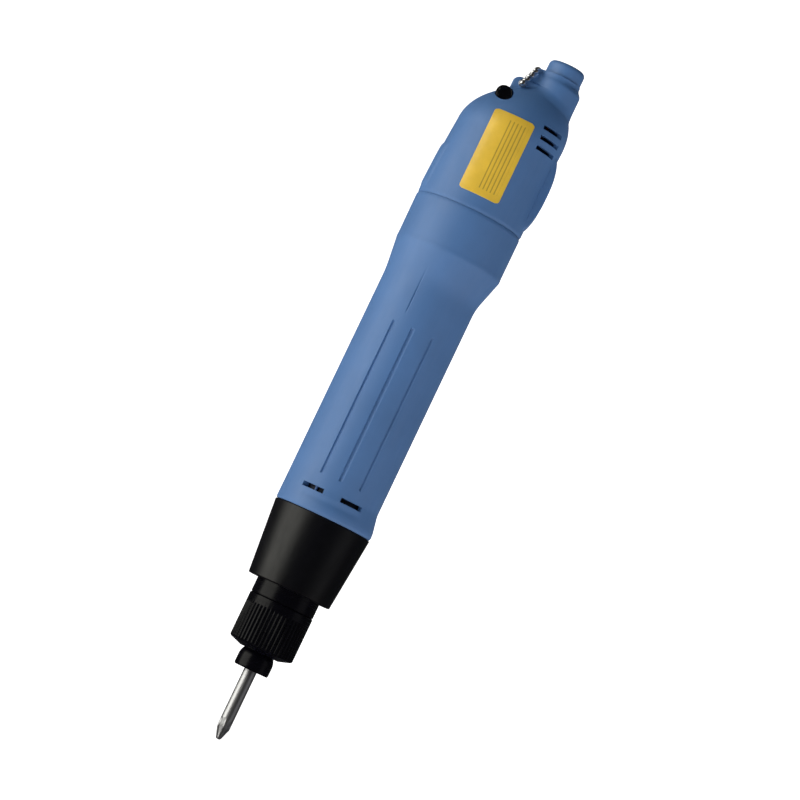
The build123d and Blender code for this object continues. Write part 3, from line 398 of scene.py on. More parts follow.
def worked(tree, operation, first, second=0.0):
    """A math node's result; either value may be a number or a socket."""
    node = tree.nodes.new("ShaderNodeMath")
    node.operation = operation
    for socket, value in zip(node.inputs, (first, second)):
        if isinstance(value, (int, float)):
            socket.default_value = value
        else:
            tree.links.new(value, socket)
    return node.outputs["Value"]


def within(tree, value, middle, half):
    """One where a value is nearer to the middle than half, and nought elsewhere."""
    away = worked(tree, "ABSOLUTE", worked(tree, "SUBTRACT", value, middle))
    return worked(tree, "LESS_THAN", away, half)


def label_film(name, colour):
    """Printed film: gloss over slightly uneven yellow ink, with blank ruled lines.

    The lines run along the tool: each is drawn where the distance across the plate,
    counted in line pitches, has a small fraction, inside a frame that stays bare.
    """
    first_line, pitch, line_share = -1.2 * mm, 1.55 * mm, 0.3
    half_wide, half_tall = 3.9 * mm, 14.5 * mm
    material, tree, place = node_tree(name)
    ink = noise(tree, place, 120.0, 5.0, 0.6)
    paper = shades(tree, ink, scaled(colour, 0.9), scaled(colour, 1.06))
    split = tree.nodes.new("ShaderNodeSeparateXYZ")
    tree.links.new(place, split.inputs["Vector"])
    middle = (label_low + label_high) / 2 * mm
    across = worked(tree, "SUBTRACT", split.outputs["X"], middle.x + first_line)
    share = worked(tree, "FRACT", worked(tree, "DIVIDE", across, pitch))
    line = worked(tree, "LESS_THAN", share, line_share)
    framed = worked(tree, "MULTIPLY", within(tree, across, half_wide, half_wide),
                    within(tree, split.outputs["Z"], middle.z, half_tall))
    drawn = worked(tree, "MULTIPLY", line, framed)
    mix = tree.nodes.new("ShaderNodeMix")
    mix.data_type = "RGBA"
    tree.links.new(worked(tree, "MULTIPLY", drawn, 0.55), mix.inputs["Factor"])
    tree.links.new(paper, mix.inputs["A"])
    mix.inputs["B"].default_value = (0.16, 0.12, 0.03, 1)
    shader = tree.nodes["Principled BSDF"]
    shader.inputs["Coat Weight"].default_value = 0.35
    shader.inputs["Coat Roughness"].default_value = 0.2
    return finished(material, mix.outputs["Result"],
                    ranged(tree, noise(tree, place, 500.0), 0.3, 0.45),
                    noise(tree, place, 240.0, 2.0), (0.15, 0.02 * mm))


finishes = {}


def make_finishes(colours):
    """One material for each slot of the record."""
    shell, black = tuple(colours.shell), tuple(colours.black)
    finishes.update({
        "blue_shell": moulded("blue_shell", shell, (0.5, 0.62), specular=0.8),
        "black_shell": moulded("black_shell", scaled(black, 1.2), (0.34, 0.46), 3200.0,
                               0.012 * mm, 0.1, 0.42),
        "black_metal": turned_metal("black_metal", scaled(black, 1.1), (0.2, 0.32), 0.0,
                                    specular=0.16),
        "tool_steel": ground_metal("tool_steel", (0.7, 0.7, 0.73), (0.4, 0.52)),
        "bright_steel": ground_metal("bright_steel", (0.82, 0.82, 0.84), (0.08, 0.2)),
        "label_yellow": label_film("label_yellow", tuple(colours.label)),
        "black_gloss": moulded("black_gloss", scaled(black, 0.9), (0.12, 0.2), 1200.0,
                               0.004 * mm, 0.1),
        "bronze": turned_metal("bronze", (0.55, 0.34, 0.15), (0.4, 0.55)),
        "gold_contact": turned_metal("gold_contact", (0.86, 0.62, 0.22), (0.15, 0.28)),
        "alloy": turned_metal("alloy", (0.03, 0.034, 0.045), (0.4, 0.55), lines=900.0),
        "gear_steel": turned_metal("gear_steel", (0.4, 0.4, 0.41), (0.28, 0.42)),
        "lamination": banded("lamination", (0.16, 0.16, 0.17), (0.34, 0.34, 0.36), 0.35 * mm,
                             0.45),
        "copper_wire": banded("copper_wire", (0.42, 0.15, 0.05), (0.78, 0.34, 0.13), 0.5 * mm,
                              0.25),
        "magnet": turned_metal("magnet", (0.3, 0.3, 0.31), (0.2, 0.32), lines=300.0),
        "circuit_green": circuit("circuit_green"),
        "fan_plastic": moulded("fan_plastic", (0.7, 0.68, 0.62), (0.4, 0.5)),
        "wire_red": moulded("wire_red", (0.11, 0.008, 0.008), (0.35, 0.5), 1800.0),
    })


# The grip shell

barrel = {
    "base": 64.5, "base_radius": 20.0, "foot": 67.0, "grip_base": 74.4, "radius": 19.24,
    "shift": -0.7, "grip_top": 163.0, "swell_top": 176.0, "swell_radius": 21.9,
    "swell_shift": 0.4, "head_radius": 22.0, "head_shift": 0.35, "bore": 16.5,
    "upper_bore": 18.2, "spigot_bore": 18.3, "spigot_top": 71.3, "lip_radius": 20.2,
    "lip_root": 3.0, "lip_length": 5.0,
}
crease_rise, crease_spread = 0.12, 0.9
# Each groove: degrees from the front, and widths of its falling, level and rising part
groove_forms = ((-23.6, 0.3, 0.35, 0.55), (0.2, 0.3, 0.55, 0.85), (27.0, 0.3, 0.35, 0.55))
groove_low, groove_high, groove_end = 79.3, 144.4, 0.7
witness_angle, witness_low, witness_high = math.radians(-14.1), 148.5, 171.0
witness_depth, witness_half = 0.35, 0.3
hollow_depth, hollow_height, hollow_spread, hollow_angle = 0.3, 70.0, 1.2, math.radians(38.0)
outlet_spans = np.radians(((-39.0, -11.0), (11.0, 40.0)))
outlet_low, outlet_high = 72.3, 74.15
rib_angle = math.radians(-25.0)


def eased_line(height, knots, values, ease):
    """Straight runs between knots, with each corner eased over a length.

    The line is the average of its own values a little below and a little above.
    """
    offsets = np.linspace(-1, 1, 9) * np.asarray(ease)[..., None]
    sampled = np.interp(height[..., None] + offsets, knots, values)
    return sampled.mean(-1)


def barrel_line(height):
    """The grip's radius and shift along X at each height, with a crease at the swelling."""
    knots = [barrel[key] for key in ("base", "foot", "grip_base", "grip_top", "swell_top")]
    knots.append(head_seam)
    radii = (barrel["base_radius"], barrel["base_radius"], barrel["radius"],
             barrel["radius"], barrel["swell_radius"], barrel["head_radius"])
    shifts = (0.0, 0.0, barrel["shift"], barrel["shift"], barrel["swell_shift"],
              barrel["head_shift"])
    ease = np.where((height > 150) & (height < 170), 2.8, 0.9)
    crease = crease_rise * np.exp(-((height - barrel["swell_top"] - 0.5) / crease_spread) ** 2)
    return (eased_line(height, knots, radii, ease) + crease,
            eased_line(height, knots, shifts, ease))


def arc_length(angle, start):
    """Length along the grip's surface from one angle to another, the short way round."""
    return np.angle(np.exp(1j * (angle - start))) * barrel["radius"]


def groove_cut(angle, height, depth):
    """Depth of the finger grooves, front and back.

    Each groove falls along a flank, runs level and rises along another, each of its own
    width, and ends squarely. A fine line and a shallow hollow under the outlets are cut in
    the same way.
    """
    run = band(height, groove_low, groove_low + groove_end, groove_high - groove_end,
               groove_high)
    cut = np.zeros(np.broadcast(angle, height).shape)
    for facing in (0.0, math.pi):
        for degrees, fall, level, rise in groove_forms:
            along = arc_length(angle, math.radians(degrees) + facing)
            cut = np.maximum(cut, depth * band(along, -fall, 0.0, level, level + rise))
    line = np.clip(1 - np.abs(arc_length(angle, witness_angle)) / witness_half, 0, 1)
    witness = witness_depth * line * band(height, witness_low, witness_low + 2,
                                          witness_high - 16, witness_high)
    spread = arc_length(angle, 0.0) / (hollow_angle * barrel["radius"])
    hollow = hollow_depth * np.exp(
        -((height - hollow_height) / hollow_spread) ** 2 - spread ** 6)
    return cut * run + witness + hollow


def even_lines(*runs):
    """Grid lines at a spacing of its own in each (low, high, spacing) run."""
    parts = [np.linspace(low, high, int(round((high - low) / spacing)) + 1)[:-1]
             for low, high, spacing in runs]
    return np.concatenate((*parts, (runs[-1][1],)))


def packed_lines(lines, tight, extra):
    """The grid lines, with three lines close together at each given value."""
    low, high = lines[0], lines[-1]
    for value in extra:
        lines = [line for line in lines if abs(line - value) > 1.5 * tight]
        lines.extend((value - tight, value, value + tight))
    return np.array(sorted(line for line in lines if low <= line <= high))


def open_cells(heights, angles, windows):
    """Which cells of a grid have their middle in a (low, high, left, right) window."""
    row = ((heights[:-1] + heights[1:]) / 2)[:, None]
    column = (angles + np.roll(angles, -1)) / 2
    cells = np.zeros((len(heights) - 1, len(angles)), bool)
    for low, high, left, right in windows:
        cells |= (row > low) & (row < high) & (column > left) & (column < right)
    return cells


def window_walls(opening, outer, inner):
    """Faces that join the outer and the inner surface round each window.

    Opening is true in the cells left out. Outer and inner turn rows and columns of the
    grid into indices of points.
    """
    rows, columns = opening.shape
    row, column = np.nonzero(opening)
    beside = (column + 1) % columns
    sides = (
        (row - 1, column, (row, column), (row, beside)),
        (row + 1, column, (row + 1, beside), (row + 1, column)),
        (row, column - 1, (row + 1, column), (row, column)),
        (row, beside, (row, beside), (row + 1, beside)),
    )
    walls = []
    for next_row, next_column, start, end in sides:
        wall = ~opening[next_row % rows, next_column % columns]
        start, end = np.array(start)[:, wall], np.array(end)[:, wall]
        walls.append(np.stack((outer(*start), outer(*end), inner(*end), inner(*start)), -1))
    return walls


def windowed_shell(outer, inner, opening):
    """Points and faces of a shell with through windows, where opening is true.

    Outer and inner are grids of the same size, closed round their columns, and the shell
    joins them at the first and the last row.
    """
    rows, columns = opening.shape
    inside, last = (rows + 1) * columns, rows * columns
    row, column = np.nonzero(~opening)
    beside = (column + 1) % columns
    low, high = row * columns, (row + 1) * columns
    out = np.stack((low + column, low + beside, high + beside, high + column), -1)
    ends = np.arange(columns)
    ahead = (ends + 1) % columns
    faces = [out, inside + out[:, ::-1],
             np.stack((ends, inside + ends, inside + ahead, ahead), -1),
             np.stack((last + ahead, inside + last + ahead, inside + last + ends,
                       last + ends), -1)]
    faces.extend(window_walls(opening, lambda row, column: row * columns + column,
                              lambda row, column: inside + row * columns + column))
    return np.concatenate((outer.reshape(-1, 3), inner.reshape(-1, 3))), np.concatenate(faces)


def make_barrel(sizes):
    """Grip shell: turned form with grooves and two air outlets cut through its wall.

    A point at angle a from the front and height z stands at radius(z) less the groove's
    depth from an axis that is shifted along X by shift(z).
    """
    cuts = (outlet_low, outlet_high, groove_low, groove_high, barrel["foot"])
    top = head_seam + 0.2
    heights = packed_lines(even_lines((barrel["base"], top, 0.8)), tight_rows, cuts)
    edges = [*outlet_spans.ravel(), witness_angle]
    for facing in (0.0, math.pi):
        for degrees, fall, level, rise in groove_forms:
            for offset in (-fall, 0.0, level, level + rise):
                edges.append(math.radians(degrees) + facing + offset / barrel["radius"])
    angles = packed_lines(even_lines((-0.5 * math.pi, 1.5 * math.pi, math.radians(0.6))),
                          tight_columns, edges)[:-1]
    height = heights[:, None]
    angle = angles[None, :]
    radius, shift = barrel_line(height)
    edge_drop = 0.35 * (1 - band(height, barrel["base"], barrel["base"] + 0.5, top - 0.4, top))
    outside = radius - groove_cut(angle, height, sizes.groove_depth / mm) - edge_drop
    bore_knots = (barrel["base"], barrel["spigot_top"], barrel["spigot_top"] + 0.2,
                  barrel["grip_top"], barrel["swell_top"], head_seam)
    bores = (barrel["spigot_bore"], barrel["spigot_bore"], barrel["bore"], barrel["bore"],
             barrel["upper_bore"], barrel["upper_bore"])
    inside = np.interp(height, bore_knots, bores) + 0 * angle
    outer = ray_points(shift, outside, angle, height)
    bore_shift = np.interp(height, (barrel["grip_top"], barrel["swell_top"]),
                           (0.0, barrel["head_shift"]))
    inner = ray_points(bore_shift, inside, angle, height)
    opening = open_cells(heights, angles,
                         [(outlet_low, outlet_high, *span) for span in outlet_spans])
    shell = new_piece("barrel_shell", *windowed_shell(outer, inner, opening), "housing",
                      "blue_shell", 50.0)
    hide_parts("barrel_housing")
    bottom, rim = head_seam - barrel["lip_root"], head_seam + barrel["lip_length"]
    lathe("barrel_lip", (
        (barrel["lip_radius"], bottom, 0), (barrel["lip_radius"], rim, 0.3),
        (barrel["upper_bore"], rim, 0.3), (barrel["upper_bore"], bottom, 0),
    ), 128, "housing", "blue_shell", (barrel["head_shift"], 0.0))
    make_outlet_rib()


def make_outlet_rib():
    """Thin rib of the motor mount that shows in the left outlet: a narrow strip, closed."""
    outer, inner, low, high = 17.6, 16.4, 71.5, 75.2
    outline = filleted(((outer, low, 0.1), (outer, high, 0.1), (inner, high, 0),
                        (inner, low, 0)))
    angles = (rib_angle + np.linspace(-1, 1, 5) * math.radians(1.1))[:, None]
    radius, height = outline.T
    points = ray_points(0.0, radius, angles, height)
    new_piece("outlet_rib", points, capped_faces(points, outward=False), "housing",
              "blue_shell")


# The head shell

crown_base, head_top = 228.0, 252.7
neck_top = collar_low.z
neck_steps = (neck_top - 3.3, neck_top - 1.7)
neck_x, neck_radius = 10.4, 9.5
upper_neck_x, upper_neck_radius = 9.7, 8.55
head_wall = 2.2
cavity_top = 239.45
ridge_foot, ridge_left, ridge_half = 243.0, -6.8, 6.6
ridge_round, ridge_reach = 2.9, 3.7
web_top = 257.0
boss_low, boss_high, boss_foot, boss_reach, boss_half = 199.5, 228.5, 22.35, 24.7, 6.4
pad_low, pad_high, pad_half, pad_rise = 197.0, 216.4, 9.0, 0.45
screw_radius, screw_reach, screw_height = 1.8, 21.9, head_seam + 2.5
inlet_heights, inlet_tall = (228.4, 232.6, 236.8), 1.75
inlet_span = np.radians((33.0, 64.0))
socket_x = (collar_low.x + collar_high.x) / 2
socket_bore = 5.5
switch_centre, switch_radius = np.array((-7.7, -9.3, 243.4)), 3.3
switch_room, pocket_depth = 0.35, 2.7
switch_tilt = math.radians(18.0)
switch_normal = np.array((0, -math.cos(switch_tilt), math.sin(switch_tilt)))
bail_x, bail_z = -2.9, 250.0


def head_oval(height):
    """Shift and half-lengths of the head's oval section at each height.

    Below the crown they change in straight runs, and in the crown they follow powers of
    the height, so the shoulder is one smooth curve that leans towards the neck.
    """
    middle = (head_seam + crown_base) / 2
    knots = (head_seam, middle, crown_base)
    rise = np.clip((height - crown_base) / (head_top - crown_base), 0, 1)
    shift = np.interp(height, knots, (0.35, 0.65, 1.3)) + 6.7 * rise ** 1.6
    half_x = np.interp(height, knots, (22.0, 21.7, 21.2)) - 15.7 * rise ** 2.5
    half_y = np.interp(height, knots, (22.0, 21.65, 21.0)) - 14.6 * rise ** 1.9
    edge = np.clip((height - head_top + 0.8) / 0.8, 0, 1)
    rounding = 0.8 * (1 - np.sqrt(1 - edge ** 2))
    return shift, half_x - rounding, half_y - rounding


def ray_to_oval(centre, side, front, shift, half_x, half_y):
    """Distance along each ray from (centre, 0) to an upright oval centred at (shift, 0)."""
    along = centre - shift
    a = (side / half_x) ** 2 + (front / half_y) ** 2
    b = along * side / half_x ** 2
    c = (along / half_x) ** 2 - 1
    inner = np.maximum(b * b - a * c, 0)
    return (np.sqrt(inner) - b) / a


def head_centre(height):
    """Where the rays of each level start: inside the crown below, on the neck's axis above."""
    return 1.0 + 9.15 * smooth_step(height, 238.5, head_top)


def ray_to_ridge(centre, side, front, left, half):
    """Distance along each ray to a bar that reaches left of the centre, with round corners."""
    to_end = (centre - left) / np.maximum(-side, 1e-3)
    to_flank = half / np.maximum(np.abs(front), 1e-3)
    return -rounded_max(-to_end, -to_flank, 1.2)


def head_neck(height, centre, side, front):
    """The neck as a distance along rays: two cylinders with a short cone between them."""
    radius = eased_line(height, neck_steps, (neck_radius, upper_neck_radius), 0.9)
    shift = eased_line(height, neck_steps, (neck_x, upper_neck_x), 0.9)
    return ray_to_oval(centre, side, front, shift, radius, radius)


def head_radius(height, angle, above_ridge=False):
    """The head's outer surface as a distance along rays.

    It is the rounded maximum of the crown, the neck and the hanger's ridge, with the side
    boss and the pad opposite it laid on. Above the ridge's flat top a web joins it to the
    neck along a hollow curve.
    """
    side, front = np.sin(angle), -np.cos(angle)
    centre = head_centre(height)
    neck = head_neck(height, centre, side, front)
    if above_ridge:
        t = np.clip((height - head_top) / (web_top - head_top), 0, 1)
        left = neck_x - neck_radius + 0.2 - 2.9 * (1 - t) ** 2
        web = ray_to_ridge(centre, side, front, left, 6.4 - 2.0 * t)
        return np.where(side < 0, rounded_max(web, neck, 2.2 * (1 - t) + 0.05), neck)
    crown = ray_to_oval(centre, side, front, *head_oval(height))
    reach = crown * side + centre
    across = np.abs(crown * front)
    from_middle = 2 * height - boss_low - boss_high
    bow = 1 - np.abs(from_middle / (boss_high - boss_low)) ** 2.7
    boss_x = boss_foot + (boss_reach - boss_foot) * np.clip(bow, 0, 1)
    on_boss = ((1 - smooth_step(across, boss_half - 0.5, boss_half + 0.5))
               * band(height, boss_low - 0.8, boss_low + 0.4, boss_high - 0.4, boss_high + 0.8))
    raised = np.maximum(boss_x - reach, 0) * on_boss / np.maximum(side, 0.5)
    on_pad = ((1 - smooth_step(across, pad_half - 1.0, pad_half + 1.0))
              * band(height, pad_low, pad_low + 3.0, pad_high - 0.7, pad_high + 0.3))
    lift = np.where(side > 0.5, raised, 0) + np.where(side < -0.5, pad_rise * on_pad, 0)
    blend = 0.2 + 2.2 * smooth_step(height, ridge_foot, ridge_foot + 6.0)
    joined = rounded_max(crown, neck, blend)
    t = np.clip((height - head_top + ridge_round) / ridge_round, 0, 1)
    left = ridge_left + ridge_reach * (1 - np.sqrt(1 - t * t))
    half = ridge_half - 0.9 * (1 - np.sqrt(1 - np.clip(3 * t - 2, 0, 1) ** 2))
    ridge = ray_to_ridge(centre, side, front, left, half)
    on_ridge = (height > ridge_foot) & (side < 0)
    return np.where(on_ridge, rounded_max(joined, ridge, 0.9), joined) + lift


def sunk(points, centre, normal, radius, depth):
    """Presses a round pocket into a surface.

    Points inside the radius that stand above the pocket's floor move down to it along the
    axis, and the points nearest to the rim move onto it.
    """
    away = points - centre
    level = away @ normal
    flat = away - level[..., None] * normal
    distance = np.linalg.norm(flat, axis=-1)
    near = np.abs(level) < 9.0
    rim = near & (distance > radius - 0.12) & (distance < radius + 0.3)
    scale = np.where(rim, radius / np.maximum(distance, 1e-9), 1.0)
    moved = centre + flat * scale[..., None] + level[..., None] * normal
    floor = near & (distance <= radius - 0.12) & (level > -depth)
    pressed = centre + flat - depth * normal
    return np.where(floor[..., None], pressed, moved)


def screw_places():
    """Centre of the head and outward direction of each cap screw."""
    for degrees in (55.0, 125.0):
        angle = math.radians(degrees)
        out = np.array((math.cos(angle), math.sin(angle), 0))
        yield np.array((barrel["head_shift"], 0, screw_height)) + screw_reach * out, out


def make_head():
    """Head shell: oval skirt, leaning crown, neck, side boss, air inlets and pockets.

    Each level is a closed curve: the rounded maximum of the crown's oval and the neck's
    circle, as distances along rays from a centre that moves over to the neck.
    """
    windows = [(height - inlet_tall / 2, height + inlet_tall / 2, *inlet_span)
               for height in inlet_heights]
    low, ridge_low = head_low.z, 250.0
    fine_low, fine_high = 239.4, 248.2
    fine_left, fine_right = math.radians(-72), math.radians(-33)
    coarse, fine = math.radians(1.25), math.radians(0.36)
    lower = packed_lines(even_lines(
        (low, crown_base, 0.85), (crown_base, fine_low, 0.5), (fine_low, fine_high, 0.16),
        (fine_high, ridge_low, 0.45)), tight_rows,
        [edge for window in windows for edge in window[:2]])
    ridge = head_top - (head_top - ridge_low) * np.linspace(1, 0, 16)[1:] ** 1.6
    neck = np.concatenate((np.linspace(head_top, web_top, 16),
                           np.linspace(web_top + 0.3, neck_top, 8)))
    angles = packed_lines(even_lines(
        (-0.5 * math.pi, fine_left, coarse), (fine_left, fine_right, fine),
        (fine_right, 1.5 * math.pi, coarse)), tight_columns, list(inlet_span))[:-1]
    angle = angles[None, :]
    side, front = np.sin(angle), -np.cos(angle)

    def level_points(heights, above_ridge=False):
        height = heights[:, None]
        distance = head_radius(height, angle, above_ridge)
        distance = distance - 0.3 * (1 - smooth_step(height, low, low + 0.3))
        return ray_points(head_centre(height), distance, angle, height)

    def oval_points(heights, shift, half_x, half_y):
        height = heights[:, None]
        centre = head_centre(height)
        distance = ray_to_oval(centre, side, front, shift, half_x, half_y)
        return ray_points(centre, distance, angle, height)

    outer = np.concatenate((level_points(lower), level_points(ridge), level_points(neck, True)))
    outer = sunk(outer, switch_centre, -y_axis, switch_radius + switch_room, pocket_depth)
    for centre, out in screw_places():
        outer = sunk(outer, centre, out, screw_radius + 0.15, 0.9)
    cavity = lower[lower <= cavity_top]
    shift, half_x, half_y = head_oval(cavity[:, None])
    inner_wall = oval_points(cavity, shift, half_x - head_wall, half_y - head_wall)
    bore = oval_points(np.array((cavity_top + 0.5, neck_top)), socket_x, socket_bore,
                       socket_bore)
    points = np.concatenate((outer, bore[::-1], inner_wall[::-1]))
    opening = open_cells(lower, angles, windows)
    rows, columns, mirror = len(opening), len(angles), len(points) - 1
    closed = np.ones((len(points), columns), bool)
    closed[:rows] = ~opening
    closed[mirror - rows:mirror] &= ~opening[::-1]
    faces = [ring_faces(points)[closed.ravel()]]
    faces.extend(window_walls(opening, lambda row, column: row * columns + column,
                              lambda row, column: (mirror - row) * columns + column))
    shell = new_piece("head_shell", points, np.concatenate(faces), "housing", "blue_shell",
                      42.0)
    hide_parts("head_cap")


def make_label():
    """Bare plate on the head's front: a grid over a rounded rectangle, lifted off the oval.

    Columns run across the plate, and each row is as wide as the rounded corners allow.
    """
    rows, columns = 61, 31
    corner, thick, sunken = 1.3, 0.25, 0.3
    low, high = label_low.z, label_high.z
    height = np.linspace(low, high, rows)
    from_end = np.minimum(height - low, high - height)
    dip = np.clip(1 - from_end / corner, 0, 1)
    half = (label_high.x - label_low.x) / 2 - corner * (1 - np.sqrt(1 - dip ** 2))
    middle = (label_high.x + label_low.x) / 2
    across = middle + half[:, None] * np.linspace(-1, 1, columns)
    level = np.broadcast_to(height[:, None], across.shape)
    shift, half_x, half_y = head_oval(level)
    depth = half_y * np.sqrt(1 - ((across - shift) / half_x) ** 2)
    front = np.stack((across, -depth - thick, level), -1)
    back = np.stack((across, -depth + sunken, level), -1)
    row, column = np.meshgrid(np.arange(rows - 1), np.arange(columns - 1), indexing="ij")
    start = (row * columns + column).ravel()
    quads = np.stack((start, start + 1, start + columns + 1, start + columns), -1)
    count = rows * columns
    border = np.concatenate((
        np.arange(columns), np.arange(2, rows) * columns - 1,
        np.arange(rows * columns - 1, (rows - 1) * columns - 1, -1),
        np.arange(rows - 2, 0, -1) * columns))
    ahead = np.roll(border, -1)
    rim = np.stack((border, border + count, ahead + count, ahead), -1)
    faces = np.concatenate((quads, count + quads[:, ::-1], rim))
    plate = new_piece("label_plate", np.concatenate((front, back)), faces,
                      "housing", "label_yellow")
    soften(plate, 0.08 * mm, 2, 50.0)
    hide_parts("rating_label")


# Nose cone, collar, torque ring and chuck

def make_nose_cone():
    """Nose cone: turned shell with rounded rims and a spigot that enters the grip."""
    base, top, spigot_top = cone_low.z, barrel["base"] - seam_gap, cone_high.z
    base_radius, top_radius, spigot, bore = 17.15, barrel["base_radius"], 18.2, 16.4
    floor, floor_radius, hole = base + 1.5, 15.2, 13.15
    cone = lathe("nose_shell", (
        (base_radius, base, 0.5), (top_radius, top, 0.35), (spigot, top, 0.1),
        (spigot, spigot_top, 0.4), (bore, spigot_top, 0.2), (bore, top - 3.2, 0.2),
        (floor_radius, floor, 0.3), (hole, floor, 0), (hole, base, 0.2),
    ), 192, "housing", "black_shell")
    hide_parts("nose_cone")


def make_clutch_housing(sizes):
    """Clutch housing: threaded tube, collar, web and cup, turned in one.

    The thread is a triangular wave of height over pitch less angle over a full turn, taken
    off the tube's radius.
    """
    columns = 96
    low, mouth, collar, web, cup = 12.1, 18.0, 28.3, 35.5, 61.5
    floor = web + 1.5
    thread_radius, thread_depth, chamfer, tube_bore = 11.35, 0.55, 0.4, 10.4
    collar_radius, cup_radius, cup_bore = 13.05, 14.9, 13.4
    bearing_radius, bearing_bore = 7.3, 5.9
    heights = np.linspace(low, collar, 110)[:, None]
    outline = filleted((
        (collar_radius, collar, 0.35), (collar_radius, web, 0.1), (cup_radius, web, 0.1),
        (cup_radius, cup, 0.3), (cup_bore, cup, 0.3), (cup_bore, floor, 0),
        (bearing_bore, floor, 0), (bearing_bore, mouth, 0.2), (bearing_radius, mouth, 0.2),
        (bearing_radius, web, 0.3), (tube_bore, web, 0.3), (tube_bore, low, 0.1)))
    around = np.linspace(0, turn, columns, endpoint=False)
    phase = heights * mm / sizes.thread_pitch - around / turn
    wave = np.abs(2 * (phase - np.floor(phase)) - 1)
    run = smooth_step(heights, low, low + 0.8)
    radius = thread_radius - thread_depth * wave * run - chamfer * (1 - run)
    points = np.concatenate((turned_points(radius, heights, columns),
                             turned_points(outline[:, :1], outline[:, 1:], columns)))
    housing = new_piece("threaded_housing", points, ring_faces(points), "housing",
                        "black_metal", 30.0)
    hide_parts("clutch_housing")


def make_torque_ring(sizes):
    """Torque ring: turned outline whose grip is cut by fine flutes.

    A flute lowers the radius by the share of its width that the angle lies inside it, and
    runs out at both ends of the grip.
    """
    low, floor, top = ring_low.z + 1.2, 11.9, ring_high.z
    cone_top, grip_low, grip_high, run_out = 9.0, 9.6, 24.3, 0.7
    grip, cone, hole, bore, flute_depth = 13.2, 12.75, 7.4, 11.45, 0.5
    outline = filleted((
        (hole, low, 0), (hole + 0.55, low, 0.2), (cone, cone_top, 0.25), (grip, grip_low, 0.2),
        (grip, grip_low + 0.6, 0), (grip, grip_high - run_out, 0), (grip, grip_high, 0),
        (grip, top - 0.8, 0.3), (grip - 0.8, top, 0.3), (bore, top, 0.2),
        (bore, floor, 0.2), (hole, floor, 0.2)), 4)
    columns_each = 14
    columns = sizes.flute_count * columns_each
    radius, height = outline[:, :1], outline[:, 1:]
    angle = np.arange(columns) * sizes.flute_count / columns
    share = np.abs((angle % 1) - 0.5) * 2
    valley = np.clip((share - 0.42) / 0.58, 0, 1)
    run = band(height, grip_low - 1.0, grip_low, grip_high - run_out, grip_high)
    cut = flute_depth * np.sqrt(valley) * run * (radius > bore + 0.85)
    points = turned_points(radius - cut, height, columns)
    ring = new_piece("fluted_ring", points, ring_faces(points), "adjuster_ring",
                     "black_metal", 30.0)
    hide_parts("torque_ring")


def make_chuck_sleeve():
    """Chuck sleeve: small turned ring with a domed shoulder towards the torque ring."""
    radius, shoulder, neck, land, pocket = 7.1, 6.2, 5.6, 4.4, 5.5
    land_low, land_high, top = 2.8, 6.2, 7.75
    sleeve = lathe("sleeve_ring", (
        (radius - 0.2, 0.0, 0.5), (radius, 0.9, 0.3), (radius, 5.2, 1.2),
        (shoulder, 7.4, 0.6), (neck, top, 0.1), (neck, land_high, 0.1), (land, land_high, 0),
        (land, land_low, 0), (pocket, land_low, 0), (pocket, 0.0, 0.3),
    ), 96, "sleeve", "black_metal")
    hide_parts("chuck_sleeve")


def make_bit():
    """Screwdriver bit: round shank, cross point with four flutes, hexagonal tang.

    Below the shank the radius narrows to the tip. Each flute is a rounded notch centred
    between two wings, and deepens towards the tip.
    """
    tip, neck, shoulder, tang_top = -29.1, -19.9, 0.0, 25.2
    shank, groove, half_hexagon, chamfer, wing_turn = 2.6, 2.4, 2.1, 0.3, math.radians(6)
    columns = 96
    heights = np.concatenate((
        np.linspace(tip, neck, 70), np.linspace(neck + 0.4, -0.15, 24),
        (-0.1, shoulder, shoulder, tang_top - 0.2, tang_top)))
    around = np.linspace(0, turn, columns, endpoint=False)[None, :]
    height = heights[:, None]
    rise = height - tip
    cone = np.interp(rise, (0, 0.2, 0.6, 4.8), (0.45, 0.9, 1.15, shank))
    core = np.interp(rise, (0, 0.6, 3.0, 6.0, 8.8), (0.35, 0.6, 1.15, 2.0, shank))
    quarter = np.abs((((around - wing_turn) / (turn / 4) + 0.5) % 1) - 0.5) * 2
    off_wing = smooth_step(quarter, 0.2, 0.6)
    flute = np.minimum(cone, core + (cone - core) * (1 - off_wing))
    sector = (around + turn / 12) % (turn / 6) - turn / 12
    radius = np.where(height < -1, flute, shank)
    radius[-3:] = half_hexagon / np.cos(sector)
    radius[-4] = groove
    radius[-1] -= chamfer
    points = turned_points(radius, height, columns)
    bit = new_piece("cross_bit", points, capped_faces(points), "output_spindle",
                    "tool_steel", 34.0)
    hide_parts("screwdriver_bit")


# Socket, switch and hanger

def make_socket():
    """Collar on the neck, turned."""
    low, high, radius = collar_low.z, collar_high.z, 7.45
    collar = lathe("collar_ring", (
        (radius - 0.15, low, 0.15), (radius, low + 0.6, 0.2), (radius, high - 1.1, 0.6),
        (radius - 0.85, high, 0.6), (socket_bore, high, 0.25), (socket_bore, low, 0),
    ), 128, "housing", "blue_shell", (socket_x, 0.0))
    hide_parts("socket_collar")


def placed(origin, axes, *lengths):
    """Points at given lengths from an origin along each of three axes."""
    return origin + sum(length[..., None] * axis for length, axis in zip(lengths, axes))


def disc_on_plane(outline, columns, origin, axes):
    """An open outline of (radius, height) turned about the third axis, as points."""
    around = np.linspace(0, turn, columns, endpoint=False)
    radius, height = outline[:, :1], outline[:, 1:]
    return placed(origin, axes, radius * np.cos(around), radius * np.sin(around),
                  height + 0 * around)


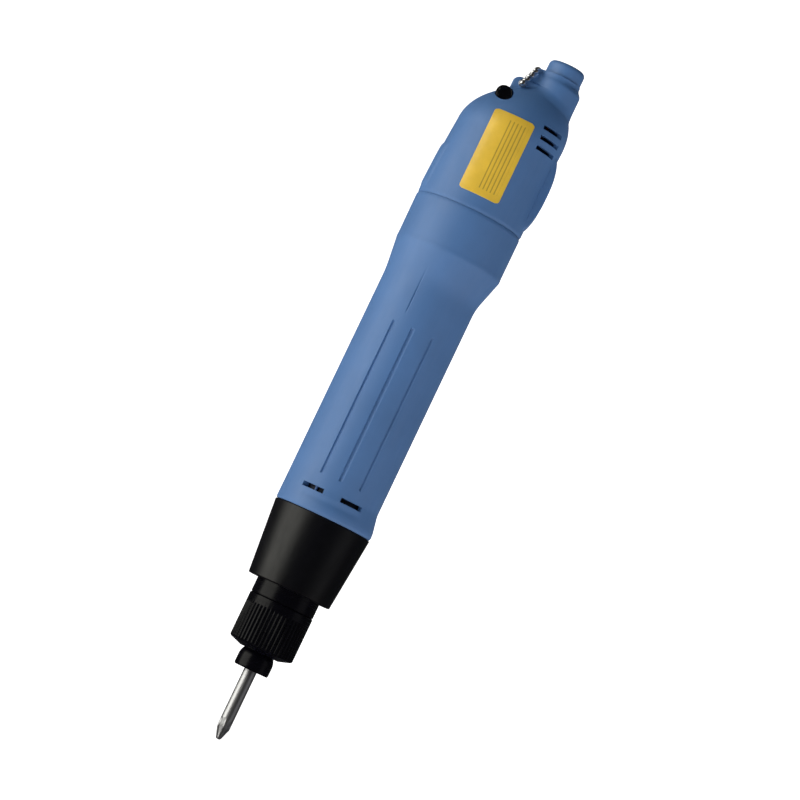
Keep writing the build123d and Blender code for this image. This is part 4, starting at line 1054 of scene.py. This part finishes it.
def make_switch():
    """Reverse switch: can with a raised rim, dished rocker with one raised end.

    The rocker's face is a shallow dish, and its crest a rounded bar across one side.
    """
    rim, face, can_floor, can_end, hole = 0.45, 0.3, -2.3, -7.0, 1.0
    dish, crest, crest_turn = 0.25, 0.8, math.radians(135.0)
    axes = x_axis, np.cross(switch_normal, x_axis), switch_normal
    outline = filleted((
        (switch_radius, can_end, 0), (switch_radius, face, 0.3),
        (switch_radius - rim, face, 0.15), (switch_radius - rim, can_floor, 0),
        (hole, can_floor, 0), (hole, can_end, 0)))
    points = disc_on_plane(outline, 72, switch_centre, axes)
    can = new_piece("switch_can", points, ring_faces(points), "housing", "black_gloss")
    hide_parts("switch_body")
    reach = switch_radius - rim - 0.1
    rings = np.concatenate(((0.02, 0.3), np.linspace(0.5, 0.9, 8), (0.95, 0.98, 1.0, 1.0, 0.98)))
    lows = np.concatenate((np.zeros(10), (0.03, 0.08, 0.18, 1.3, 1.4)))[:, None]
    around = np.linspace(0, turn, 96, endpoint=False)
    radius = (rings * reach)[:, None]
    u, v = radius * np.cos(around - crest_turn), radius * np.sin(around - crest_turn)
    bar = (band(u, reach - 1.5, reach - 1.1, reach - 0.5, reach - 0.2)
           * (1 - smooth_step(np.abs(v), 1.0, 1.4)))
    top = (face - lows - dish * np.clip(1 - (radius / reach) ** 2, 0, 1)
           + np.where(lows < 0.5, crest * bar, 0))
    points = placed(switch_centre, axes, radius * np.cos(around), radius * np.sin(around), top)
    rocker = new_piece("rocker_cap", points, capped_faces(points, outward=False),
                       "reverse_rocker", "black_gloss")
    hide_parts("switch_rocker")


def swept_tube(name, path, radius, columns, body, slot):
    """A round tube along a path of points, closed at both ends by its last rings.

    Each ring stands across the path's direction, and its first axis stays nearest to X.
    """
    along = np.gradient(path, axis=0)
    along /= np.linalg.norm(along, axis=1, keepdims=True)
    first = np.cross(along, np.array((1.0, 0.02, 0.0)))
    first /= np.linalg.norm(first, axis=1, keepdims=True)
    second = np.cross(along, first)
    around = np.linspace(0, turn, columns, endpoint=False)[:, None]
    points = path[:, None, :] + radius * (np.cos(around) * first[:, None, :]
                                          + np.sin(around) * second[:, None, :])
    return new_piece(name, points, capped_faces(points), body, slot)


def make_bail(sizes):
    """Hanger: two strands of wire twisted round the bail's line, with an eye at each end.

    The line runs up one leg, round two bends, along the top and down the other leg. Each
    strand circles it at a small radius, half a turn from the other.
    """
    lean = math.radians(22.0)
    up = np.array((math.sin(lean), 0.0, math.cos(lean)))
    outward = np.array((math.cos(lean), 0.0, -math.sin(lean)))
    origin = np.array((bail_x, 0.0, bail_z))
    half, reach, bend, start = 7.6, 8.6, 2.8, 0.9
    strand_offset, strand_radius, eye_radius, eye_bore, eye_half = 0.68, 0.66, 1.5, 0.85, 0.65
    leg = reach - bend - start
    arc = bend * math.pi / 2
    top = 2 * (half - bend)
    total = 2 * leg + 2 * arc + top
    s = np.linspace(0, total, 260)
    mirrored = np.minimum(s, total - s)
    on_arc = np.clip((mirrored - leg) / arc, 0, 1) * math.pi / 2
    rise = start + np.minimum(mirrored, leg) + bend * np.sin(on_arc)
    out = half - bend * (1 - np.cos(on_arc)) - np.maximum(mirrored - leg - arc, 0)
    sign = np.where(s < total / 2, -1.0, 1.0)
    line = origin + rise[:, None] * up + (sign * out)[:, None] * y_axis
    along = np.gradient(line, axis=0)
    along /= np.linalg.norm(along, axis=1, keepdims=True)
    second = np.cross(along, outward)
    for number in range(2):
        twist = turn * s * mm / sizes.wire_twist + number * math.pi
        offset = strand_offset * (np.cos(twist)[:, None] * outward
                                  + np.sin(twist)[:, None] * second)
        swept_tube(f"bail_strand_{number + 1}", line + offset, strand_radius, 16,
                                  "bail", "bright_steel")
    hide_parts("hanger_bail")
    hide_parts("hanger_bail")
    for number, side in enumerate((-1, 1)):
        outline = filleted((
            (eye_radius, -eye_half, 0.4), (eye_radius, eye_half, 0.4),
            (eye_bore, eye_half, 0.2), (eye_bore, -eye_half, 0.2)))
        points = disc_on_plane(outline, 48, origin + side * half * y_axis,
                               (z_axis, x_axis, y_axis))
        new_piece(f"bail_eye_{number + 1}", points, ring_faces(points), "bail",
                  "bright_steel")


def make_screws():
    """Cap screws: domed heads with a cross recess.

    The recess lowers the dome where either of two crossed bars lies.
    """
    dome, recess, narrow, wide = 0.45, 0.55, (0.22, 0.34), (0.95, 1.1)
    head_thick, shank_end = 0.5, 3.9

    def bar(across, along):
        return ((1 - smooth_step(np.abs(across), *narrow))
                * (1 - smooth_step(np.abs(along), *wide)))

    for number, (centre, out) in enumerate(screw_places()):
        axes = np.cross(z_axis, out), z_axis, out
        rings = np.linspace(0.04, 1, 22)[:, None]
        around = np.linspace(0, turn, 96, endpoint=False)
        radius = rings * screw_radius
        u, v = radius * np.cos(around), radius * np.sin(around)
        height = (dome * (np.sqrt(np.clip(1.02 - rings ** 2, 0, 1)) - 0.99)
                  - recess * np.maximum(bar(u, v), bar(v, u)))
        points = placed(centre, axes, u, v, height)
        shank = placed(centre - shank_end * out, axes[:2], u[-1] / 2, v[-1] / 2)
        points = np.concatenate((points, (points[-1] - head_thick * out)[None], shank[None]))
        screw = new_piece(f"cap_screw_{number + 1}", points,
                          capped_faces(points, outward=False), "housing", "tool_steel")
        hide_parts("cap_screws")


def dress_frame():
    """Gives each CAD node the finish of its slot."""
    slots = {row["node"]: row["material_slot"] for row in frame["record"]["subparts"]}
    for name, node in frame["nodes"].items():
        node.data.materials.clear()
        node.data.materials.append(finishes[slots[name]])


# Studio

def make_floor():
    """Floor that curves up behind the tool into a backdrop, as one swept strip."""
    material, tree, place = node_tree("studio_paper")
    shader = tree.nodes["Principled BSDF"]
    paper = shades(tree, noise(tree, place, 6.0), (0.93, 0.93, 0.93), (0.95, 0.95, 0.95))
    tree.links.new(paper, shader.inputs["Base Color"])
    shader.inputs["Roughness"].default_value = 0.9
    shader.inputs["Specular IOR Level"].default_value = 0.1
    shader.inputs["Emission Color"].default_value = (1, 1, 1, 1)
    shader.inputs["Emission Strength"].default_value = 1.0
    rows, flat_end, bend_end = 40, 0.4, 0.7
    front, length, radius, wall, half_wide = -3.0, 5.0, 1.5, 4.0, 4.0
    t = np.linspace(0, 1, rows)
    bend = np.clip((t - flat_end) / (bend_end - flat_end), 0, 1) * math.pi / 2
    depth = front + length * np.minimum(t / flat_end, 1) + radius * np.sin(bend)
    rise = radius * (1 - np.cos(bend)) + wall * np.clip((t - bend_end) / (1 - bend_end), 0, 1)
    level = cad_low.z - 0.1 * mm + rise
    points = [(side, y, z) for y, z in zip(depth, level) for side in (-half_wide, half_wide)]
    faces = [(corner, corner + 1, corner + 3, corner + 2)
             for corner in range(0, 2 * (rows - 1), 2)]
    mesh = bpy.data.meshes.new("studio_floor")
    mesh.from_pydata(points, [], faces)
    mesh.shade_smooth()
    mesh.materials.append(material)
    floor = bpy.data.objects.new("studio_floor", mesh)
    bpy.context.scene.collection.objects.link(floor)
    floor.visible_glossy = False


def add_softbox(name, place, target, size, power, colour=(1.0, 1.0, 1.0)):
    """A rectangular area light that faces a point."""
    data = bpy.data.lights.new(name, "AREA")
    data.color = colour
    data.shape = "RECTANGLE"
    data.size, data.size_y = size
    data.energy = power
    lamp = bpy.data.objects.new(name, data)
    lamp.location = place
    lamp.rotation_euler = (Vector(target) - Vector(place)).to_track_quat("-Z", "Y").to_euler()
    bpy.context.scene.collection.objects.link(lamp)


def make_lights():
    """Tall key softbox at the left, wide weak fill at the right, small one overhead."""
    middle = (0.0, 0.0, 0.12)
    add_softbox("key_light", (-1.11, -0.45, 0.22), middle, (1.3, 1.5), 13.2,
                (1.0, 0.99, 0.9))
    add_softbox("fill_light", (1.13, -0.41, 0.02), middle, (0.7, 1.5), 0.8)
    add_softbox("top_light", (-0.45, -0.35, 1.2), middle, (0.4, 0.4), 0.4)
    world = bpy.data.worlds.new("surround")
    world.use_nodes = True
    background = world.node_tree.nodes["Background"]
    background.inputs["Color"].default_value = (1, 1, 1, 1)
    background.inputs["Strength"].default_value = 0.03
    bpy.context.scene.world = world
    bpy.context.scene.view_settings.view_transform = "Standard"


def make_camera(studio):
    """Camera in front of the tool, rolled so that its top leans to the right."""
    data = bpy.data.cameras.new("camera")
    data.lens = studio.lens
    data.sensor_width = 36.0
    data.dof.use_dof = False
    data.clip_end = 20.0
    e = studio.elevation
    back = Vector((0, -math.cos(e), math.sin(e)))
    level = Vector((1, 0, 0))
    rise = back.cross(level)
    right = level * math.cos(studio.lean) + rise * math.sin(studio.lean)
    up = back.cross(right)
    place = Vector((studio.aim_x, 0, studio.aim_z)) + back * studio.distance
    turned = Matrix((right, up, back)).transposed().to_4x4()
    camera = bpy.data.objects.new("camera", data)
    camera.matrix_world = Matrix.Translation(place) @ turned
    bpy.context.scene.collection.objects.link(camera)
    bpy.context.scene.camera = camera


class ToolOperator:
    """What the tool's operators share."""

    bl_options = {"REGISTER", "UNDO"}

    def execute(self, context):
        self.make(context.scene)
        return {"FINISHED"}


class TOOL_OT_finishes(ToolOperator, bpy.types.Operator):
    """Make the finishes and put them on the frame"""

    bl_idname = "tool.finishes"
    bl_label = "Finishes"

    def make(self, scene):
        make_finishes(scene.tool_colours)
        dress_frame()


class TOOL_OT_barrel(ToolOperator, bpy.types.Operator):
    """Make the grip shell"""

    bl_idname = "tool.barrel"
    bl_label = "Grip shell"

    def make(self, scene):
        make_barrel(scene.tool_sizes)


class TOOL_OT_head(ToolOperator, bpy.types.Operator):
    """Make the head shell and its screws"""

    bl_idname = "tool.head"
    bl_label = "Head shell"

    def make(self, scene):
        make_head()
        make_screws()


class TOOL_OT_label(ToolOperator, bpy.types.Operator):
    """Make the bare label plate"""

    bl_idname = "tool.label"
    bl_label = "Label plate"

    def make(self, scene):
        make_label()


class TOOL_OT_nose(ToolOperator, bpy.types.Operator):
    """Make the nose cone, the clutch housing and the torque ring"""

    bl_idname = "tool.nose"
    bl_label = "Nose"

    def make(self, scene):
        make_nose_cone()
        make_clutch_housing(scene.tool_sizes)
        make_torque_ring(scene.tool_sizes)


class TOOL_OT_chuck(ToolOperator, bpy.types.Operator):
    """Make the chuck sleeve and the bit"""

    bl_idname = "tool.chuck"
    bl_label = "Chuck and bit"

    def make(self, scene):
        make_chuck_sleeve()
        make_bit()


class TOOL_OT_socket(ToolOperator, bpy.types.Operator):
    """Make the collar of the cable socket"""

    bl_idname = "tool.socket"
    bl_label = "Socket collar"

    def make(self, scene):
        make_socket()


class TOOL_OT_switch(ToolOperator, bpy.types.Operator):
    """Make the reverse switch"""

    bl_idname = "tool.switch"
    bl_label = "Reverse switch"

    def make(self, scene):
        make_switch()


class TOOL_OT_hanger(ToolOperator, bpy.types.Operator):
    """Make the wire hanger"""

    bl_idname = "tool.hanger"
    bl_label = "Hanger"

    def make(self, scene):
        make_bail(scene.tool_sizes)


class TOOL_OT_stage(ToolOperator, bpy.types.Operator):
    """Make the floor, the lights and the camera"""

    bl_idname = "tool.stage"
    bl_label = "Studio"

    def make(self, scene):
        make_floor()
        make_lights()
        make_camera(scene.tool_studio)


class TOOL_PT_panel(bpy.types.Panel):
    """Sizes, colours and the operators in order"""

    bl_label = "Torque screwdriver"
    bl_idname = "TOOL_PT_panel"
    bl_space_type = "VIEW_3D"
    bl_region_type = "UI"
    bl_category = "Screwdriver"

    def draw(self, context):
        for group in (context.scene.tool_sizes, context.scene.tool_colours,
                      context.scene.tool_studio):
            for name in group.__annotations__:
                self.layout.prop(group, name)
        for operator in operators:
            self.layout.operator(operator.bl_idname)


operators = (TOOL_OT_stage, TOOL_OT_finishes, TOOL_OT_barrel, TOOL_OT_head, TOOL_OT_label,
             TOOL_OT_nose, TOOL_OT_chuck, TOOL_OT_socket, TOOL_OT_switch, TOOL_OT_hanger)
groups = (TOOL_PG_sizes, TOOL_PG_colours, TOOL_PG_studio)


def register():
    """Registers the groups, operators and panel."""
    for kind in (*groups, *operators, TOOL_PT_panel):
        bpy.utils.register_class(kind)
    bpy.types.Scene.tool_sizes = bpy.props.PointerProperty(type=TOOL_PG_sizes)
    bpy.types.Scene.tool_colours = bpy.props.PointerProperty(type=TOOL_PG_colours)
    bpy.types.Scene.tool_studio = bpy.props.PointerProperty(type=TOOL_PG_studio)


def unregister():
    """Takes back what register added."""
    del bpy.types.Scene.tool_studio
    del bpy.types.Scene.tool_colours
    del bpy.types.Scene.tool_sizes
    for kind in reversed((*groups, *operators, TOOL_PT_panel)):
        bpy.utils.unregister_class(kind)


def main():
    """Registers the add-on and builds everything."""
    register()
    for operator in operators:
        group, name = operator.bl_idname.split(".")
        getattr(getattr(bpy.ops, group), name)()


if __name__ == "__main__":
    main()
